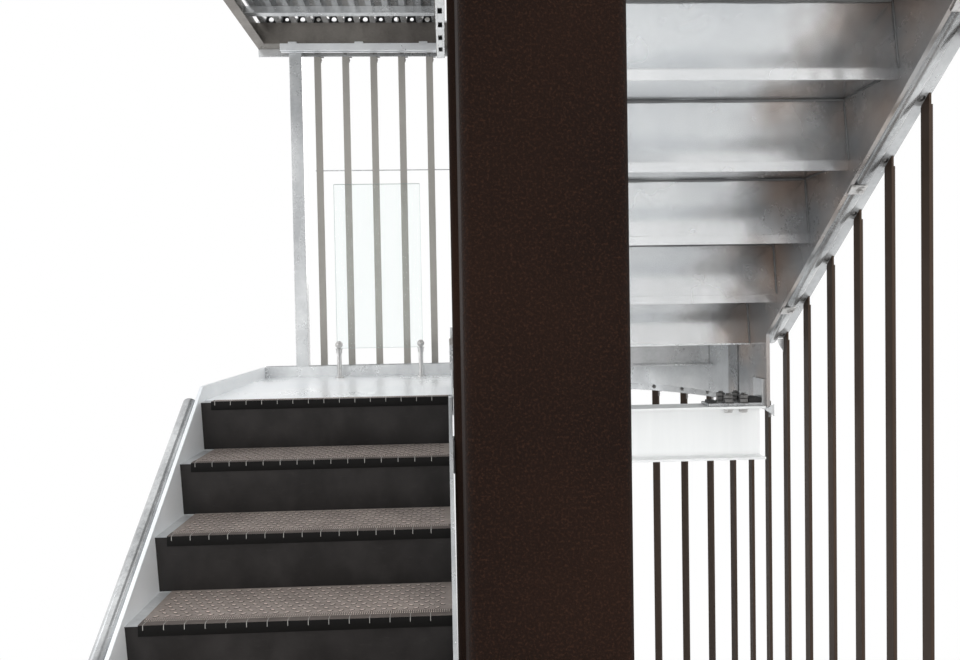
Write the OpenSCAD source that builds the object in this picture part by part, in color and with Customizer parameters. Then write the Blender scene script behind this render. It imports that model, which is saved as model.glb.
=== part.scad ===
// Fire escape stair, two storeys, in galvanised steel.
// In each storey a flight of folded pans climbs along +Y to a quarter landing, one more riser leads
// to a second quarter landing with a round corner, and a longer flight comes back along -Y.
// Two coated box columns stand in the well. A screen of upright fins follows the outer edge.
// All sizes are millimetres, the ground is z = 0 and the origin is the middle of the plan.

/* [Steps] */
// Height of one riser
riser_h = 210; // [180:1:220]
// Going of one step, nosing to nosing
going = 280; // [240:1:300]
// Width of a flight between its stringers
flight_w = 1064; // [850:2:1200]
// Risers in the left flight, up to the lower quarter landing
left_risers = 6; // [5:1:7]
// Risers in the right flight, from the upper quarter landing
right_risers = 9; // [8:1:10]
// Slope of a riser: how far its foot stands behind the nosing above
riser_lean = 32; // [10:1:40]
// Thickness of the folded step plate
step_t = 4; // [3:0.5:6]
// Depth of the lip folded down at the back edge of a tread
tread_lip_h = 28; // [18:1:34]
// Set-back of the right flight's first nosing from the landing nosing
right_start = 34; // [20:1:60]

/* [Tread covers] */
// Thickness of the moulded tread cover
cover_t = 5; // [3:0.5:8]
// Height of the nosing that turns down over the edge of the step
cover_nose_h = 36; // [26:1:45]
// Bare strip of step plate left beside the outer stringer
cover_gap = 45; // [20:1:60]
// Depth of the plate and cover that finish the head of a flight
front_depth = 60; // [50:1:90]

/* [Stringers] */
// Thickness of the outer stringers and of the landing edge plates
string_t = 14; // [10:1:16]
// Thickness of the stringers beside the well
well_string_t = 15; // [10:1:16]
// Height of a stringer's top edge above the line of nosings
string_top = 31; // [10:1:60]
// Depth of a stringer's lower edge below the line of nosings
string_drop = 325; // [280:1:340]
// Clear width of the well between the treads of the two flights
well_w = 244; // [240:2:320]
// Diameter of the round tubes along both edges of an outer stringer
tube_d = 60; // [48:1:64]
// Wall thickness of those tubes
tube_wall = 4; // [3:0.5:6]

/* [Half landing] */
// Depth of the half landing, from its nosing to the edge plate
landing_d = 1192; // [1100:2:1300]
// Inside radius of the landing's round corner
corner_r = 1000; // [700:10:1050]
// Upstand of an edge plate above its deck
edge_up = 62; // [40:1:80]
// Reach of an edge plate below the lower quarter's deck
edge_down = 46; // [40:1:60]
// Thickness of the flat deck plates
deck_t = 6; // [5:0.5:8]
// Depth of the joists under the quarter landings
joist_h = 118; // [90:1:130]
// Distance of the riser between the two quarters from the middle of the well
split_x = 105; // [90:1:118]
// Where the lower end of a right stringer is cut plumb, in front of the landing nosing
string_cut = 245; // [240:1:260]

/* [Top and middle landings] */
// Depth of the near landing, from the right flight's last nosing to the edge plate
near_landing_d = 1192; // [1100:2:1300]
// Pitch of the ribs of the folded deck
rib_pitch = 90; // [80:1:100]
// Height of the ribs of the folded deck
rib_h = 45; // [40:1:50]
// Sheet thickness of the folded deck
rib_t = 2; // [1.5:0.5:3]
// Thickness of the plate on the ribs
deck_plate_t = 5; // [4:0.5:8]
// Depth of the channels under the folded deck
channel_h = 120; // [100:5:140]
// Thickness of the channels' flanges
channel_t = 10; // [6:1:12]

/* [Screen of fins] */
// Width of a fin, measured along the screen
fin_w = 40; // [30:1:50]
// Thickness of a fin, which is a flat bar set edge to edge along the screen
fin_d = 12; // [10:1:60]
// Spacing of the fins along the right side
fin_pitch = 192; // [150:2:200]
// Angle between fins round a corner
fin_corner_step = 10; // [9:1:15]
// Spacing of the fins in the left bay of the back and near sides
fin_pitch_left = 165; // [150:1:180]
// Distance from the inside face of the edge plate to the fins
fin_gap = 100; // [90:1:110]
// Thickness of the fin rails
rail_t = 8; // [6:1:10]
// Height of the upright rails at the landings and the ground
rail_h = 44; // [36:1:60]
// Width of the sloping fin rails
slope_rail_w = 37; // [30:1:45]
// Thickness of the shelves that reach from an edge plate to the fins
shelf_t = 6; // [5:0.5:10]
// Thickness of the foot rail on the ground
base_rail_t = 12; // [8:1:16]
// How far the foot rail runs past its last fin at the entrance
foot_rail_end = 99; // [30:1:110]
// Height of the tie rods above the lower quarter landing
tie_rod_z = 1217; // [1100:1:1300]
// Diameter of the tie rods
tie_rod_d = 6; // [4:1:7]
// Width of the rail along the top of the screen
top_rail_w = 40; // [30:1:60]
// Height of the screen above the top landing
screen_h = 1100; // [1000:10:1200]

/* [Columns, beams and posts] */
// Side of the near box column
column_w = 206; // [180:2:210]
// Side of the far box column
far_column_w = 200; // [180:2:206]
// Wall thickness of the box columns
column_wall = 10; // [8:1:12]
// Outside radius of the columns' corners
column_r = 14; // [12:1:24]
// Depth of a cantilever beam
beam_h = 220; // [180:2:240]
// Flange width of a cantilever beam
beam_w = 134; // [100:2:150]
// Flange thickness of a cantilever beam
beam_flange_t = 10; // [8:1:12]
// Web thickness of a cantilever beam
beam_web_t = 7; // [5:0.5:9]
// Side of the square posts
post_w = 70; // [60:5:75]
// Wall thickness of the square posts
post_wall = 4; // [3:0.5:6]
// Distance of the back post from the middle of the well
back_post_x = 972; // [940:1:1000]

/* [Guards] */
// Thickness of the clear guard panels
glass_t = 12; // [8:1:16]
// Width of a clear guard panel on a half landing
glass_w = 485; // [400:5:600]
// Gap between a guard panel's lower edge and the deck
glass_gap = 170; // [120:5:180]
// Height of a guard panel's top edge above its deck
glass_top = 1100; // [900:10:1150]
// Diameter of a guard spigot
spigot_d = 26; // [20:1:34]

/* [Fixings] */
// Hole for a holding-down bolt
anchor_hole_d = 18; // [14:1:22]
// Spacing of the four holding-down bolts of a column
column_pitch = 280; // [270:2:300]
// Thickness of the base plates of columns and posts
base_plate_t = 20; // [12:1:25]
// Hole for a wall bolt through a left outer stringer
wall_hole_d = 18; // [14:1:22]
// Spacing of the wall bolts along a half landing
wall_pitch = 800; // [600:10:900]

/* [Hidden] */
$fn = 48;
fit = 0.3;
storeys = 2;

// Levels within a storey
left_rise = left_risers * riser_h;
upper_rise = left_rise + riser_h;
storey_h = upper_rise + right_risers * riser_h;
top_level = storeys * storey_h;
deck_h = rib_h + deck_plate_t;
channel_drop = deck_h + channel_h;
edge_z = left_rise - edge_down;
beam_top = edge_z + 4;

// Plan, measured from the middle of the well and the lower quarter landing's nosing
slope = riser_h / going;
slope_a = atan(slope);
tread_x = well_w / 2;
outer_x = tread_x + flight_w;
string_x = outer_x + string_t;
well_x = tread_x - well_string_t;
back_y = landing_d;
first_y = -(left_risers - 1) * going;
last_y = -right_start - (right_risers - 1) * going;
near_y = last_y - near_landing_d;
corner_x = outer_x - corner_r;
corner_y = back_y - corner_r;
near_corner_y = near_y + corner_r;
fin_r = corner_r + fin_gap;
fin_x = outer_x + fin_gap;
end_x = -string_x - tube_d - fit;
foot_y = first_y - 80;
deck_start_y = first_y + riser_lean + step_t;
near_end_y = last_y - riser_lean - 2 * step_t - 2;
near_column_y = near_end_y - 35;
far_column_y = -right_start - 4 - far_column_w / 2;
trimmer_y = -right_start + 12;
level_fins = floor((corner_y + string_cut - 98) / fin_pitch);
level_end_y = corner_y - level_fins * fin_pitch - fin_w / 2 - 6;
low_tube_y = corner_y - (level_fins + 1) * fin_pitch + fin_w / 2 - 3;
high_tube_y = near_end_y + 60;
ring_end_y = last_y + 340;
back_post_y = back_y + string_t + fit + post_w / 2;
near_post_x = string_x - 2 - post_w / 2;
near_post_y = near_y - string_t - fit - post_w / 2;
shift_x = -(fin_x + fin_d + end_x) / 2;
shift_y = -(near_y + back_y) / 2;

zinc = [0.72, 0.74, 0.75];
rubber = [0.2, 0.19, 0.18];
coating = [0.13, 0.1, 0.09];
fin_colour = [0.42, 0.38, 0.35];
clear = [0.75, 0.86, 0.88];

// Height of each flight's line of nosings at y, above its storey's floor
function left_line(y) = left_rise + y * slope;
function right_line(y) = upper_rise + riser_h - (y + right_start) * slope;

// Heights of the tubes' centre lines, inside the two edges of a stringer
tube_off = tube_d / 2 / cos(slope_a);
tube_x = string_x + fit + tube_d / 2;
function right_low(y) = right_line(y) - string_drop + tube_off;
function right_high(y) = right_line(y) + string_top - tube_off;
function left_high(y) = left_line(y) + string_top - tube_off;

// Where the top edge of the upper outer stringer reaches a height below the top landing
function side_y(z) = -right_start - (storey_h + z - string_top - upper_rise - riser_h) / slope + fit;

module in_frame(s = 0) {
    translate([shift_x, shift_y, s * storey_h]) children();
}

// A profile drawn in the Y-Z plane, carried along X from x0 over width w
module along_x(x0, w) {
    translate([x0, 0, 0]) rotate([90, 0, 90]) linear_extrude(w) children();
}

// A ring sector of rectangular section round a landing corner, from z over height h
module ring(r0, r1, z, h, near = false) {
    translate([corner_x, near ? near_corner_y : corner_y, z])
        rotate([0, 0, near ? -90 : 0])
            rotate_extrude(angle = 90, $fn = 144)
                translate([r0, 0]) square([r1 - r0, h]);
}

// Folded step: sloping riser, tread and a lip at the back. The nosing's top edge is at [0, 0].
module pan_profile(foot) {
    back = going + riser_lean - fit;
    polygon([
        [0, -cover_t],
        [0, -cover_t - step_t],
        [step_t / 2, -cover_t - step_t],
        [riser_lean, foot],
        [riser_lean + step_t, foot],
        [step_t * 1.6, -cover_t - step_t],
        [back, -cover_t - step_t],
        [back, -cover_t - step_t - tread_lip_h],
        [back + step_t, -cover_t - step_t - tread_lip_h],
        [back + step_t, -cover_t]
    ]);
}

// Riser and nosing at the head of a flight, where the deck takes over
module head_profile() {
    foot = -riser_h - cover_t + fit;
    polygon([
        [0, -cover_t],
        [0, -cover_t - step_t],
        [step_t / 2, -cover_t - step_t],
        [riser_lean, foot],
        [riser_lean + step_t, foot],
        [step_t * 1.6, -cover_t - step_t],
        [front_depth, -cover_t - step_t],
        [front_depth, -cover_t]
    ]);
}

// Moulded cover with its nosing turned down in front
module cover_profile(depth) {
    polygon([
        [-cover_t, 0],
        [-cover_t, -cover_nose_h],
        [-fit, -cover_nose_h],
        [-fit, -cover_t],
        [depth, -cover_t],
        [depth, 0]
    ]);
}

// The first riser stands on a deck, the others on the tread plate below
function foot_z(i) = -riser_h - (i > 1 ? cover_t : 0) + fit;

module left_steps(s) {
    color(zinc) in_frame(s)
        along_x(-outer_x, flight_w) {
            for (i = [1:left_risers - 1])
                translate([-(left_risers - i) * going, i * riser_h]) pan_profile(foot_z(i));
            translate([0, left_rise]) head_profile();
        }
}

module right_steps(s) {
    color(zinc) in_frame(s)
        along_x(tread_x, flight_w) {
            for (i = [1:right_risers - 1])
                translate([-right_start - (i - 1) * going, upper_rise + i * riser_h])
                    mirror([1, 0]) pan_profile(foot_z(i));
            translate([last_y, storey_h]) mirror([1, 0]) head_profile();
        }
}

module step_covers(s) {
    tread = going + riser_lean - 2;
    color(rubber) in_frame(s) {
        along_x(-outer_x + cover_gap, flight_w - cover_gap)
            for (i = [1:left_risers])
                translate([-(left_risers - i) * going, i * riser_h])
                    cover_profile(i < left_risers ? tread : front_depth);
        along_x(tread_x, flight_w - cover_gap)
            for (i = [1:right_risers])
                translate([-right_start - (i - 1) * going, upper_rise + i * riser_h])
                    mirror([1, 0]) cover_profile(i < right_risers ? tread : front_depth);
        translate([-split_x, back_y - 1, upper_rise]) rotate([90, 0, 0])
            linear_extrude(back_y - 2) cover_profile(front_depth);
    }
}

// Stringer on the wall side of the left flight. It carries on along the lower quarter landing.
module wall_stringer(s) {
    foot = s > 0 ? -channel_drop : 0;
    under = left_rise - channel_drop;
    color(zinc) in_frame(s) difference() {
        along_x(-string_x, string_t) polygon([
            [foot_y, foot],
            [(foot + string_drop - left_rise) / slope, foot],
            [(string_drop - channel_drop) / slope, under],
            [back_y, under],
            [back_y, left_rise + edge_up],
            [(edge_up - string_top) / slope, left_rise + edge_up],
            [foot_y, left_line(foot_y) + string_top]
        ]);
        for (y = [back_y / 2 - wall_pitch / 2, back_y / 2 + wall_pitch / 2])
            translate([-string_x - 1, y, left_rise - 60])
                rotate([0, 90, 0]) cylinder(d = wall_hole_d, h = string_t + 2);
    }
}

module left_well_stringers() {
    color(zinc)
        for (s = [0:storeys - 1]) {
            foot = s > 0 ? -channel_drop : 0;
            in_frame(s) along_x(-tread_x, well_string_t) polygon([
                [foot_y, foot],
                [(foot + string_drop - left_rise) / slope, foot],
                [0, left_rise - string_drop],
                [0, left_rise],
                [-string_top / slope, left_rise],
                [foot_y, left_line(foot_y) + string_top]
            ]);
        }
}

module outer_stringer(s) {
    color(zinc) in_frame(s) along_x(outer_x, string_t) polygon([
        [corner_y, edge_z],
        [-string_cut, edge_z],
        [-string_cut, right_line(-string_cut) - string_drop],
        [near_end_y, right_line(near_end_y) - string_drop],
        [near_end_y, storey_h - channel_drop],
        [near_corner_y, storey_h - channel_drop],
        [near_corner_y, storey_h + edge_up],
        [last_y - (edge_up - string_top) / slope, storey_h + edge_up],
        [corner_y, right_line(corner_y) + string_top]
    ]);
}

module right_well_stringers() {
    color(zinc)
        for (s = [0:storeys - 1])
            in_frame(s) along_x(well_x, well_string_t) polygon([
                [trimmer_y, beam_top],
                [-string_cut, beam_top],
                [-string_cut, right_line(-string_cut) - string_drop],
                [near_end_y, right_line(near_end_y) - string_drop],
                [near_end_y, storey_h - cover_t - step_t - fit],
                [last_y, storey_h + string_top],
                [trimmer_y, right_line(trimmer_y) + string_top]
            ]);
}

// Round tube beside a stringer, from one point of the Y-Z plane to another
module slope_tube(x, y0, z0, y1, z1) {
    len = norm([y1 - y0, z1 - z0]);
    translate([x, y0, z0]) rotate([atan2(z1 - z0, y1 - y0) - 90, 0, 0]) difference() {
        cylinder(d = tube_d, h = len);
        translate([0, 0, -1]) cylinder(d = tube_d - 2 * tube_wall, h = len + 2);
    }
}

module stringer_tubes() {
    y0 = low_tube_y;
    y1 = high_tube_y;
    y2 = foot_y + 40;
    color(zinc)
        for (s = [0:storeys - 1])
            in_frame(s) {
                slope_tube(tube_x, y0, right_low(y0), y1, right_low(y1));
                slope_tube(tube_x, y0, right_high(y0), y1, right_high(y1));
                slope_tube(-tube_x, y2, left_high(y2), 0, left_high(0));
            }
}

// Half landing decks
module lower_quarter_decks() {
    color(zinc)
        for (s = [0:storeys - 1])
            in_frame(s) translate([-outer_x + fit, front_depth + fit, left_rise - deck_t])
                cube([outer_x - split_x - 2 * fit, back_y - front_depth - 2 * fit, deck_t]);
}

module upper_quarter_plan() {
    y0 = -right_start - riser_lean - step_t;
    x0 = -split_x + front_depth + fit;
    difference() {
        union() {
            intersection() {
                translate([corner_x, corner_y]) circle(corner_r - fit, $fn = 144);
                translate([corner_x, corner_y]) square([corner_r, corner_r]);
            }
            translate([x0, y0]) square([corner_x - x0, back_y - fit - y0]);
            translate([corner_x, y0]) square([corner_r - fit, corner_y - y0]);
        }
        translate([-split_x, y0 - 1]) square([split_x + tread_x, trimmer_y + fit - y0 + 1]);
    }
}

module upper_quarter_decks() {
    color(zinc)
        for (s = [0:storeys - 1])
            in_frame(s) translate([0, 0, upper_rise - deck_t])
                linear_extrude(deck_t) upper_quarter_plan();
}

// Riser between the quarters, with its nosing plate and the plate that closes its near end
module split_risers() {
    d = back_y - trimmer_y - fit;
    color(zinc)
        for (s = [0:storeys - 1])
            in_frame(s) {
                translate([-split_x, trimmer_y, left_rise - 80])
                    cube([step_t, d, upper_rise - left_rise + 80 - cover_t]);
                translate([-split_x, trimmer_y, upper_rise - cover_t - step_t])
                    cube([front_depth, d, step_t]);
                translate([-split_x - 9, -right_start, upper_rise - 92])
                    cube([split_x + 9 + well_x - fit, 12, 107]);
            }
}

// Landing edge: upright plate with two shelves that reach out to the fins
module edge_section(z0, z1, x0, x1, near = false) {
    translate([x0, near ? near_y - string_t : back_y, z0]) cube([x1 - x0, string_t, z1 - z0]);
    for (z = [z0, z1 - rail_h - shelf_t])
        translate([x0, near ? near_y - fin_gap : back_y + string_t - 1, z])
            cube([x1 - x0, fin_gap - string_t + 1, shelf_t]);
}

module edge_corner(z0, z1, near = false) {
    ring(corner_r, corner_r + string_t, z0, z1 - z0, near);
    for (z = [z0, z1 - rail_h - shelf_t])
        ring(corner_r + string_t - 1, fin_r, z, shelf_t, near);
}

// Shelves beside the level stretches of the right side
module edge_side(z0, z1, y0, y1) {
    for (z = [z0, z1 - rail_h - shelf_t])
        translate([string_x + fit, y0, z]) cube([fin_gap - string_t - fit, y1 - y0, shelf_t]);
}

module post_gap(x, y) {
    translate([x - post_w / 2 - 1, y - post_w / 2 - 1, -storey_h])
        cube([post_w + 2, post_w + 2, 3 * storey_h]);
}

module far_edge_plates() {
    color(zinc)
        for (s = [0:storeys - 1])
            in_frame(s) {
                difference() {
                    edge_section(edge_z, left_rise + edge_up, -string_x, -split_x);
                    post_gap(-back_post_x, back_post_y + 1);
                }
                edge_section(edge_z, upper_rise + edge_up, -split_x, corner_x);
                edge_corner(edge_z, upper_rise + edge_up);
                edge_side(edge_z, upper_rise + edge_up, level_end_y, corner_y);
            }
}

module near_edge_plates() {
    color(zinc)
        for (s = [1:storeys])
            in_frame(s) {
                difference() {
                    edge_section(-channel_drop, edge_up, -string_x, corner_x, true);
                    if (s < storeys) post_gap(-near_post_x, near_post_y - 1);
                }
                edge_corner(-channel_drop, edge_up, true);
                edge_side(-channel_drop, edge_up, near_corner_y, high_tube_y);
                translate([-outer_x + fit, near_y - 1, -deck_h - shelf_t])
                    cube([outer_x + corner_x - fit, 41, shelf_t - fit]);
                ring(corner_r - 40, corner_r + 1, -deck_h - shelf_t, shelf_t - fit, true);
            }
}

// Folded sheet whose ribs run along Y, with a plate on it
module rib_profile(n) {
    p = rib_pitch;
    w = rib_t * 0.6;
    for (i = [0:n - 1])
        translate([i * p, 0]) polygon([
            [0, rib_h - rib_t],
            [p * 0.2, rib_h - rib_t],
            [p * 0.32, 0],
            [p * 0.68, 0],
            [p * 0.8, rib_h - rib_t],
            [p, rib_h - rib_t],
            [p, rib_h],
            [p * 0.8 - w, rib_h],
            [p * 0.68 - w, rib_t],
            [p * 0.32 + w, rib_t],
            [p * 0.2 + w, rib_h],
            [0, rib_h]
        ]);
}

module ribbed_deck(x0, x1, y0, y1) {
    n = floor((x1 - x0) / rib_pitch);
    translate([x0 + (x1 - x0 - n * rib_pitch) / 2, y1, -deck_h]) rotate([90, 0, 0])
        linear_extrude(y1 - y0) rib_profile(n);
    translate([x0, y0, -deck_plate_t]) cube([x1 - x0, y1 - y0, deck_plate_t]);
}

// Plan of the near landing, whose left bay ends at left_end
module near_plan(left_end) {
    notch_y = near_column_y - column_w / 2 - 6;
    front_y = last_y - front_depth - fit;
    intersection() {
        translate([corner_x, near_corner_y]) circle(corner_r - fit, $fn = 144);
        translate([corner_x, near_corner_y - corner_r]) square([corner_r, corner_r]);
    }
    translate([-outer_x, near_y + fit]) square([outer_x + corner_x, near_corner_y - near_y - fit]);
    translate([-outer_x, near_corner_y]) square([outer_x + outer_x - fit, notch_y - near_corner_y]);
    translate([-outer_x, notch_y]) square([outer_x - well_x, min(left_end, foot_y - fit) - notch_y]);
    if (left_end > foot_y)
        translate([-outer_x, foot_y - fit]) square([flight_w, left_end - foot_y + fit]);
    translate([tread_x, notch_y]) square([flight_w - fit, front_y - notch_y]);
}

module near_landing_decks() {
    color(zinc)
        for (s = [1:storeys])
            in_frame(s) intersection() {
                ribbed_deck(-outer_x, outer_x, near_y + fit, deck_start_y);
                translate([0, 0, -deck_h - 1]) linear_extrude(deck_h + 2)
                    near_plan(s < storeys ? deck_start_y : last_y - front_depth);
            }
}

module gallery_deck() {
    color(zinc) in_frame(storeys)
        ribbed_deck(-string_x, -well_x, last_y - front_depth + fit, back_y + string_t);
}

// Channels that edge the gallery and tie the top of the screen
module gallery_channels() {
    y1 = near_end_y + fit;
    y2 = near_column_y + column_w / 2 + 1;
    color(zinc) in_frame(storeys) {
        translate([0, 0, -channel_drop]) {
            translate([-string_x, y1, 0]) cube([string_t, back_y - y1, channel_h]);
            translate([-outer_x - 1, y1, 0]) cube([41, back_y - y1, shelf_t]);
            translate([-well_x - 12, y2, 0]) cube([12, back_y - y2, channel_h]);
            translate([-well_x - 50, y2, 0]) cube([40, back_y - y2, shelf_t]);
            translate([-string_x, back_y, 0]) cube([string_x + corner_x, string_t, channel_h]);
            ring(corner_r, corner_r + string_t, 0, channel_h);
            for (z = [0, channel_h - channel_t]) {
                translate([-string_x, back_y + string_t - 1, z])
                    cube([string_x + corner_x, fin_gap - string_t + 1, channel_t]);
                ring(corner_r + string_t - 1, fin_r, z, channel_t);
                translate([string_x - 1, ring_end_y, z])
                    cube([fin_gap - string_t + 1, corner_y - ring_end_y, channel_t]);
            }
        }
        along_x(outer_x, string_t) polygon([
            [corner_y, -channel_drop],
            [corner_y, -deck_h],
            [side_y(-deck_h), -deck_h],
            [side_y(-channel_drop), -channel_drop]
        ]);
    }
}

// Angle joist along X
module joist(x0, x1, y, top) {
    translate([x0, y, top - joist_h]) cube([x1 - x0, 8, joist_h]);
    translate([x0, y - 42, top - joist_h]) cube([x1 - x0, 50, 8]);
}

module deck_joists() {
    edge_h = channel_drop + edge_up;
    color(zinc) {
        for (s = [0:storeys - 1])
            in_frame(s) {
                for (y = [front_depth + 60, back_y - 90])
                    joist(-outer_x + fit, -split_x - fit, y, left_rise - deck_t - fit);
                difference() {
                    for (y = [394, 800])
                        joist(-split_x + step_t + fit,
                              corner_x + sqrt(pow(corner_r, 2) - pow(y + 8 - corner_y, 2)) - fit,
                              y, upper_rise - deck_t - fit);
                    translate([-split_x, 0, upper_rise - cover_t - step_t - fit])
                        cube([front_depth + fit, back_y, 10]);
                }
            }
        for (s = [1:storeys - 1])
            in_frame(s) translate([0, 0, -channel_drop]) {
                translate([-outer_x + fit, deck_start_y - 12, 0])
                    cube([flight_w - 2 * fit, 12, channel_h - fit]);
                translate([-string_x, near_y, 0]) cube([string_t, foot_y - near_y - fit, edge_h]);
                translate([-tread_x, near_column_y + column_w / 2 + 1, 0])
                    cube([well_string_t, foot_y - near_column_y - column_w / 2 - 2, channel_h - fit]);
            }
        in_frame(storeys) translate([-string_x, near_y, -channel_drop])
            cube([string_t, last_y - front_depth - near_y, edge_h]);
    }
}

module i_section() {
    translate([-beam_w / 2, 0]) square([beam_w, beam_flange_t]);
    translate([-beam_w / 2, beam_h - beam_flange_t]) square([beam_w, beam_flange_t]);
    translate([-beam_web_t / 2, 0]) square([beam_web_t, beam_h]);
}

beam_y = -string_cut + beam_w / 2;
near_beam_y = near_end_y - fit - beam_w / 2;
end_plate_t = 12;

module beam(x0, x1, y, top, plate_x) {
    along_x(x0, x1 - x0) translate([y, top - beam_h]) i_section();
    translate([plate_x, y - beam_w / 2, top - beam_h]) cube([end_plate_t, beam_w, beam_h]);
}

module cantilever_beams() {
    x0 = far_column_w / 2;
    x1 = column_w / 2;
    top = -deck_h - fit;
    color([0.86, 0.86, 0.85]) {
        for (s = [0:storeys - 1])
            in_frame(s) beam(x0, outer_x - 5, beam_y, beam_top - fit, x0);
        for (s = [1:storeys])
            in_frame(s) {
                beam(x1, outer_x - fit, near_beam_y, top, x1);
                beam(-outer_x + fit, -x1, near_beam_y, top, -x1 - end_plate_t);
            }
    }
}

// Bracket on each half landing beam, and the packers between the columns and the well stringers
module beam_cleats() {
    gap = well_x - far_column_w / 2;
    near_gap = well_x - column_w / 2;
    color(zinc) {
        for (s = [0:storeys - 1])
            in_frame(s) {
                translate([outer_x - 236, beam_y - 47, beam_top]) cube([236, 94, 12]);
                translate([outer_x - 12, beam_y - 47, beam_top]) cube([12, 94, 110]);
                translate([-well_x, far_column_y - 50, left_rise - 300]) cube([gap, 100, 140]);
                translate([well_x - gap, far_column_y - 50, upper_rise + 60]) cube([gap, 100, 140]);
                translate([well_x - near_gap, near_end_y + 4, storey_h - 250])
                    cube([near_gap, 56, 140]);
            }
        in_frame(storeys) translate([-well_x, far_column_y - 50, -channel_drop + 10])
            cube([gap, 100, 100]);
    }
}

module rounded_square(w, r) {
    translate([-w / 2 + r, -w / 2]) square([w - 2 * r, w]);
    translate([-w / 2, -w / 2 + r]) square([w, w - 2 * r]);
    for (sx = [-1, 1], sy = [-1, 1])
        translate([sx * (w / 2 - r), sy * (w / 2 - r)]) circle(r);
}

module box_column(y, w) {
    h = top_level - deck_h - base_plate_t;
    color(coating) in_frame() translate([0, y, base_plate_t]) difference() {
        linear_extrude(h) rounded_square(w, column_r);
        translate([0, 0, -1]) linear_extrude(h - column_wall + 1)
            rounded_square(w - 2 * column_wall, column_r - column_wall);
    }
}

module drilled_plate(x, y, size_x, size_y, pitch_x, pitch_y) {
    translate([x, y, 0]) difference() {
        translate([-size_x / 2, -size_y / 2, 0]) cube([size_x, size_y, base_plate_t]);
        for (sx = [-1, 1], sy = [-1, 1])
            translate([sx * pitch_x / 2, sy * pitch_y / 2, -1])
                cylinder(d = anchor_hole_d, h = base_plate_t + 2);
    }
}

module base_plates() {
    plate = column_pitch + 60;
    color(coating) in_frame() {
        drilled_plate(0, near_column_y, plate, plate, column_pitch, column_pitch);
        drilled_plate(0, far_column_y, plate, plate, column_pitch, column_pitch);
        drilled_plate(-back_post_x, back_post_y, post_w + 100, post_w, post_w + 60, post_w - 30);
        drilled_plate(-near_post_x, near_post_y, post_w + 100, post_w, post_w + 60, post_w - 30);
    }
}

module square_post(x, y) {
    h = top_level - channel_drop - base_plate_t;
    inner = post_w - 2 * post_wall;
    color(zinc) in_frame() translate([x, y, base_plate_t]) difference() {
        translate([-post_w / 2, -post_w / 2, 0]) cube([post_w, post_w, h - fit]);
        translate([-inner / 2, -inner / 2, -1]) cube([inner, inner, h + 2]);
    }
}

// Fins
module fin(z0, z1) {
    translate([fit, -fin_w / 2, z0]) cube([fin_d - fit, fin_w, z1 - z0]);
}

// A fin whose thinner end tongues, cut to the slope, reach the sloping rails below and above
module side_fin(y, z0, z1, foot, head) {
    half = fin_w / 2 - 1;
    lean = half * slope;
    translate([fin_x, y, 0]) fin(z0, z1);
    if (foot)
        along_x(fin_x + fit + 1, tongue_t) polygon([
            [y - half, z0 + 5],
            [y - half, z0 - tongue_h + lean + fit],
            [y + half, z0 - tongue_h - lean + fit],
            [y + half, z0 + 5]
        ]);
    if (head)
        along_x(fin_x + fit + 1, tongue_t) polygon([
            [y - half, z1 - 5],
            [y + half, z1 - 5],
            [y + half, z1 + tongue_h - lean - fit],
            [y - half, z1 + tongue_h + lean - fit]
        ]);
}

rail_half = rail_t / 2 / cos(slope_a);
tongue_h = fin_w / 2 * slope + 4;
tongue_t = 7;

// Side fins stand between the ground, the stringers of each storey, the gallery and the top rail
module side_fins(levels) {
    color(fin_colour) in_frame()
        for (k = [1:floor((corner_y - near_corner_y - 60) / fin_pitch)], n = levels) {
            y = corner_y - k * fin_pitch;
            far = k <= level_fins;
            level = far || y < high_tube_y;
            low = level ? (far ? upper_rise : storey_h) + edge_up - rail_h + 4
                : right_high(y) + rail_half + tongue_h;
            high = level ? (far ? edge_z : storey_h - channel_drop) - 4
                : right_low(y) - rail_half - tongue_h;
            tongue = !level;
            top0 = top_level - deck_h + 4;
            top1 = top_level + screen_h - rail_t;
            under = top_level - channel_drop - 4;
            if (n == 1) side_fin(y, base_rail_t, high, false, tongue);
            if (n == 2) side_fin(y, low, storey_h + high, tongue, tongue);
            if (n == 3 && storey_h + low < under - 150)
                side_fin(y, storey_h + low, under, tongue, false);
            if (n == 4 && y > ring_end_y) side_fin(y, top0, top1, false, false);
            if (n == 4 && y <= ring_end_y) side_fin(y, storey_h + low, top1, tongue, false);
        }
}

// Feet and heads of the fins on the far side, apart from the landing they stand on
function far_foot(n, rise) = n == 1 ? base_rail_t
    : n == 4 ? top_level - deck_h + 4
    : (n - 2) * storey_h + rise + edge_up - rail_h + 4;
function far_head(n) = n <= 2 ? (n - 1) * storey_h + edge_z - 4
    : n == 3 ? top_level - channel_drop - 4
    : top_level + screen_h - rail_t;
function near_foot(n) = n == 1 ? base_rail_t : (n - 1) * storey_h + edge_up - rail_h + 4;
function near_head(n) = n <= storeys ? n * storey_h - channel_drop - 4 : top_level + screen_h - rail_t;

module corner_fins(levels, near) {
    color(fin_colour) in_frame()
        for (k = [0:90 / fin_corner_step], n = levels)
            translate([corner_x, near ? near_corner_y : corner_y, 0])
                rotate([0, 0, (near ? -1 : 1) * k * fin_corner_step])
                    translate([fin_r, 0, 0])
                        if (near) fin(near_foot(n), near_head(n));
                        else fin(far_foot(n, upper_rise), far_head(n));
}

// Fins of a straight side run left from the round corner
function row_x(k) = corner_x - min(k, 2) * fin_pitch - max(k - 2, 0) * fin_pitch_left;

tie_rod_y = back_y + fin_gap + (fin_d + fit) / 2;

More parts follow.
